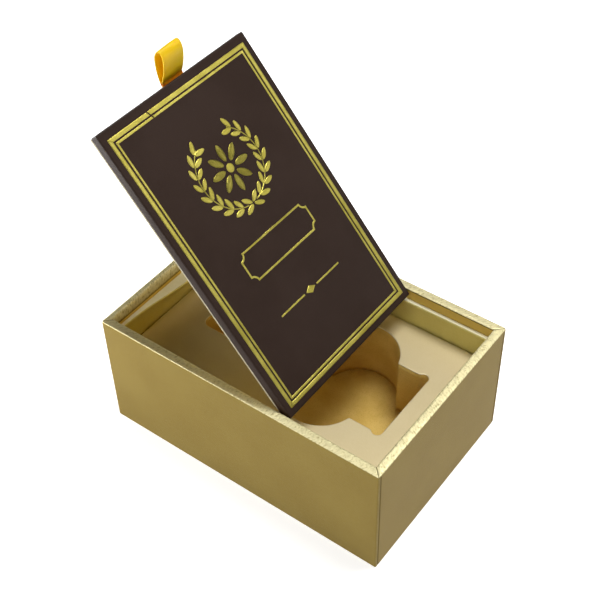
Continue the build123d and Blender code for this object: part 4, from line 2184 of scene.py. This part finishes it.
@dataclass
class Lamp:
    """A soft rectangular lamp."""

    name: str
    place: Place
    size: Span
    power: float
    aim: Place = (0.0, 0.0, 0.05)

    def build(self) -> None:
        """Hang the lamp and aim it."""
        light = bpy.data.lights.new(self.name, "AREA")
        light.shape = "RECTANGLE"
        light.size, light.size_y = self.size
        light.energy = self.power
        aim_object(new_object(self.name, light), self.place, self.aim)


def background_rays(graph: Graph) -> Socket:
    """Tell the rays that show the background: to the camera, in reflections and through glass.

    Args:
        graph: Graph of the background's material.

    Returns:
        The socket of a number that is 1 for those rays and 0 for the others.
    """
    path = graph.add("ShaderNodeLightPath").outputs
    mirrored = graph.plus(path["Is Glossy Ray"], path["Is Transmission Ray"])
    return graph.math("ADD", path["Is Camera Ray"], mirrored, clamp=True)


@dataclass
class Studio:
    """Pale floor that turns up all round, soft light and the photograph's camera, in metres."""

    camera_place: Place = (0.1820056, -0.2358724, 0.3576827)
    camera_aim: Place = (-0.0004129, -0.0003197, 0.0639105)
    camera_roll: float = -1.762
    lens: float = 71.858
    sensor: float = 36.0
    clip_start: float = 0.01
    cove: tuple[Span, ...] = ((1.0, 0.0), (6.0, 0.0), (7.0, 0.2), (7.6, 0.8), (7.8, 4.0))
    cove_points: int = 96
    floor_drop: float = 0.00003
    floor_colour: Colour = (0.8, 0.8, 0.8)
    floor_glow: float = 0.68
    surround: float = 0.04

    def build(self) -> None:
        """Set up the floor, the world, the lamps, the camera and the view."""
        self.make_floor()
        self.make_world()
        lamps = (
            Lamp("overhead_softbox", (0.11, 0.23, 0.93), (0.4, 0.4), 7.7),
            Lamp("front_softbox", (0.12, -0.7, 0.4), (0.4, 0.4), 1.5),
            Lamp("low_left_strip", (-0.5, -0.05, 0.05), (0.3, 0.08), 1.9),
            Lamp("low_front_strip", (-0.26, -0.22, 0.04), (0.2, 0.07), 0.8),
            Lamp("low_right_strip", (0.5, 0.4, 0.05), (0.3, 0.08), 0.25),
            Lamp("right_back_card", (0.53, 0.47, 0.60), (0.36, 0.36), 0.8),
        )
        for lamp in lamps:
            lamp.build()
        self.make_camera()
        bpy.context.scene.view_settings.view_transform = "Standard"

    def make_floor(self) -> None:
        """Lay the floor, which looks white, keeps the box's shadow and turns up far all round."""
        material = bpy.data.materials.new("studio_floor")
        material.use_nodes = True
        material.node_tree.nodes.clear()
        graph = Graph(material.node_tree)
        paint = graph.add("ShaderNodeBsdfDiffuse", {"Color": self.floor_colour})
        strength = graph.times(background_rays(graph), self.floor_glow)
        glow = graph.add("ShaderNodeEmission", {"Strength": strength})
        both = graph.add("ShaderNodeAddShader", {0: paint.outputs[0], 1: glow.outputs[0]})
        graph.add("ShaderNodeOutputMaterial", {"Surface": both.outputs[0]})
        draft = Draft()
        ring = circle(1 / MM, self.cove_points)
        loops = [at_height(ring * radius, (height - self.floor_drop) / MM) for radius, height in self.cove]
        numbers = draft.add_loops(loops[::-1])
        draft.fill([numbers[-1]], up=True)
        draft.make("floor", material)

    def make_world(self) -> None:
        """Surround the stage with a little even light."""
        world = bpy.data.worlds.new("studio")
        world.use_nodes = True
        background = world.node_tree.nodes["Background"]
        Graph(world.node_tree).feed(background, {"Color": (1.0, 1.0, 1.0), "Strength": self.surround})
        bpy.context.scene.world = world

    def make_camera(self) -> None:
        """Place the camera where the photograph was taken."""
        data = bpy.data.cameras.new("photo_camera")
        data.lens = self.lens
        data.sensor_width = self.sensor
        data.clip_start = self.clip_start
        camera = new_object("photo_camera", data)
        aim_object(camera, self.camera_place, self.camera_aim, self.camera_roll)
        bpy.context.scene.camera = camera


def main() -> None:
    """Build the box, then the studio."""
    logging.basicConfig(level=logging.INFO, format="%(name)s: %(message)s")
    finishes = FinishSet()
    lid_frame = LidFrame()
    parts = (
        Tray(finishes),
        Insert(finishes),
        Lid(finishes, lid_frame),
        FoilDecoration(finishes, lid_frame),
        RibbonPull(finishes, lid_frame),
        Studio(),
    )
    for part in parts:
        part.build()
        LOG.info("%s is built", type(part).__name__)


if __name__ == "__main__":
    main()
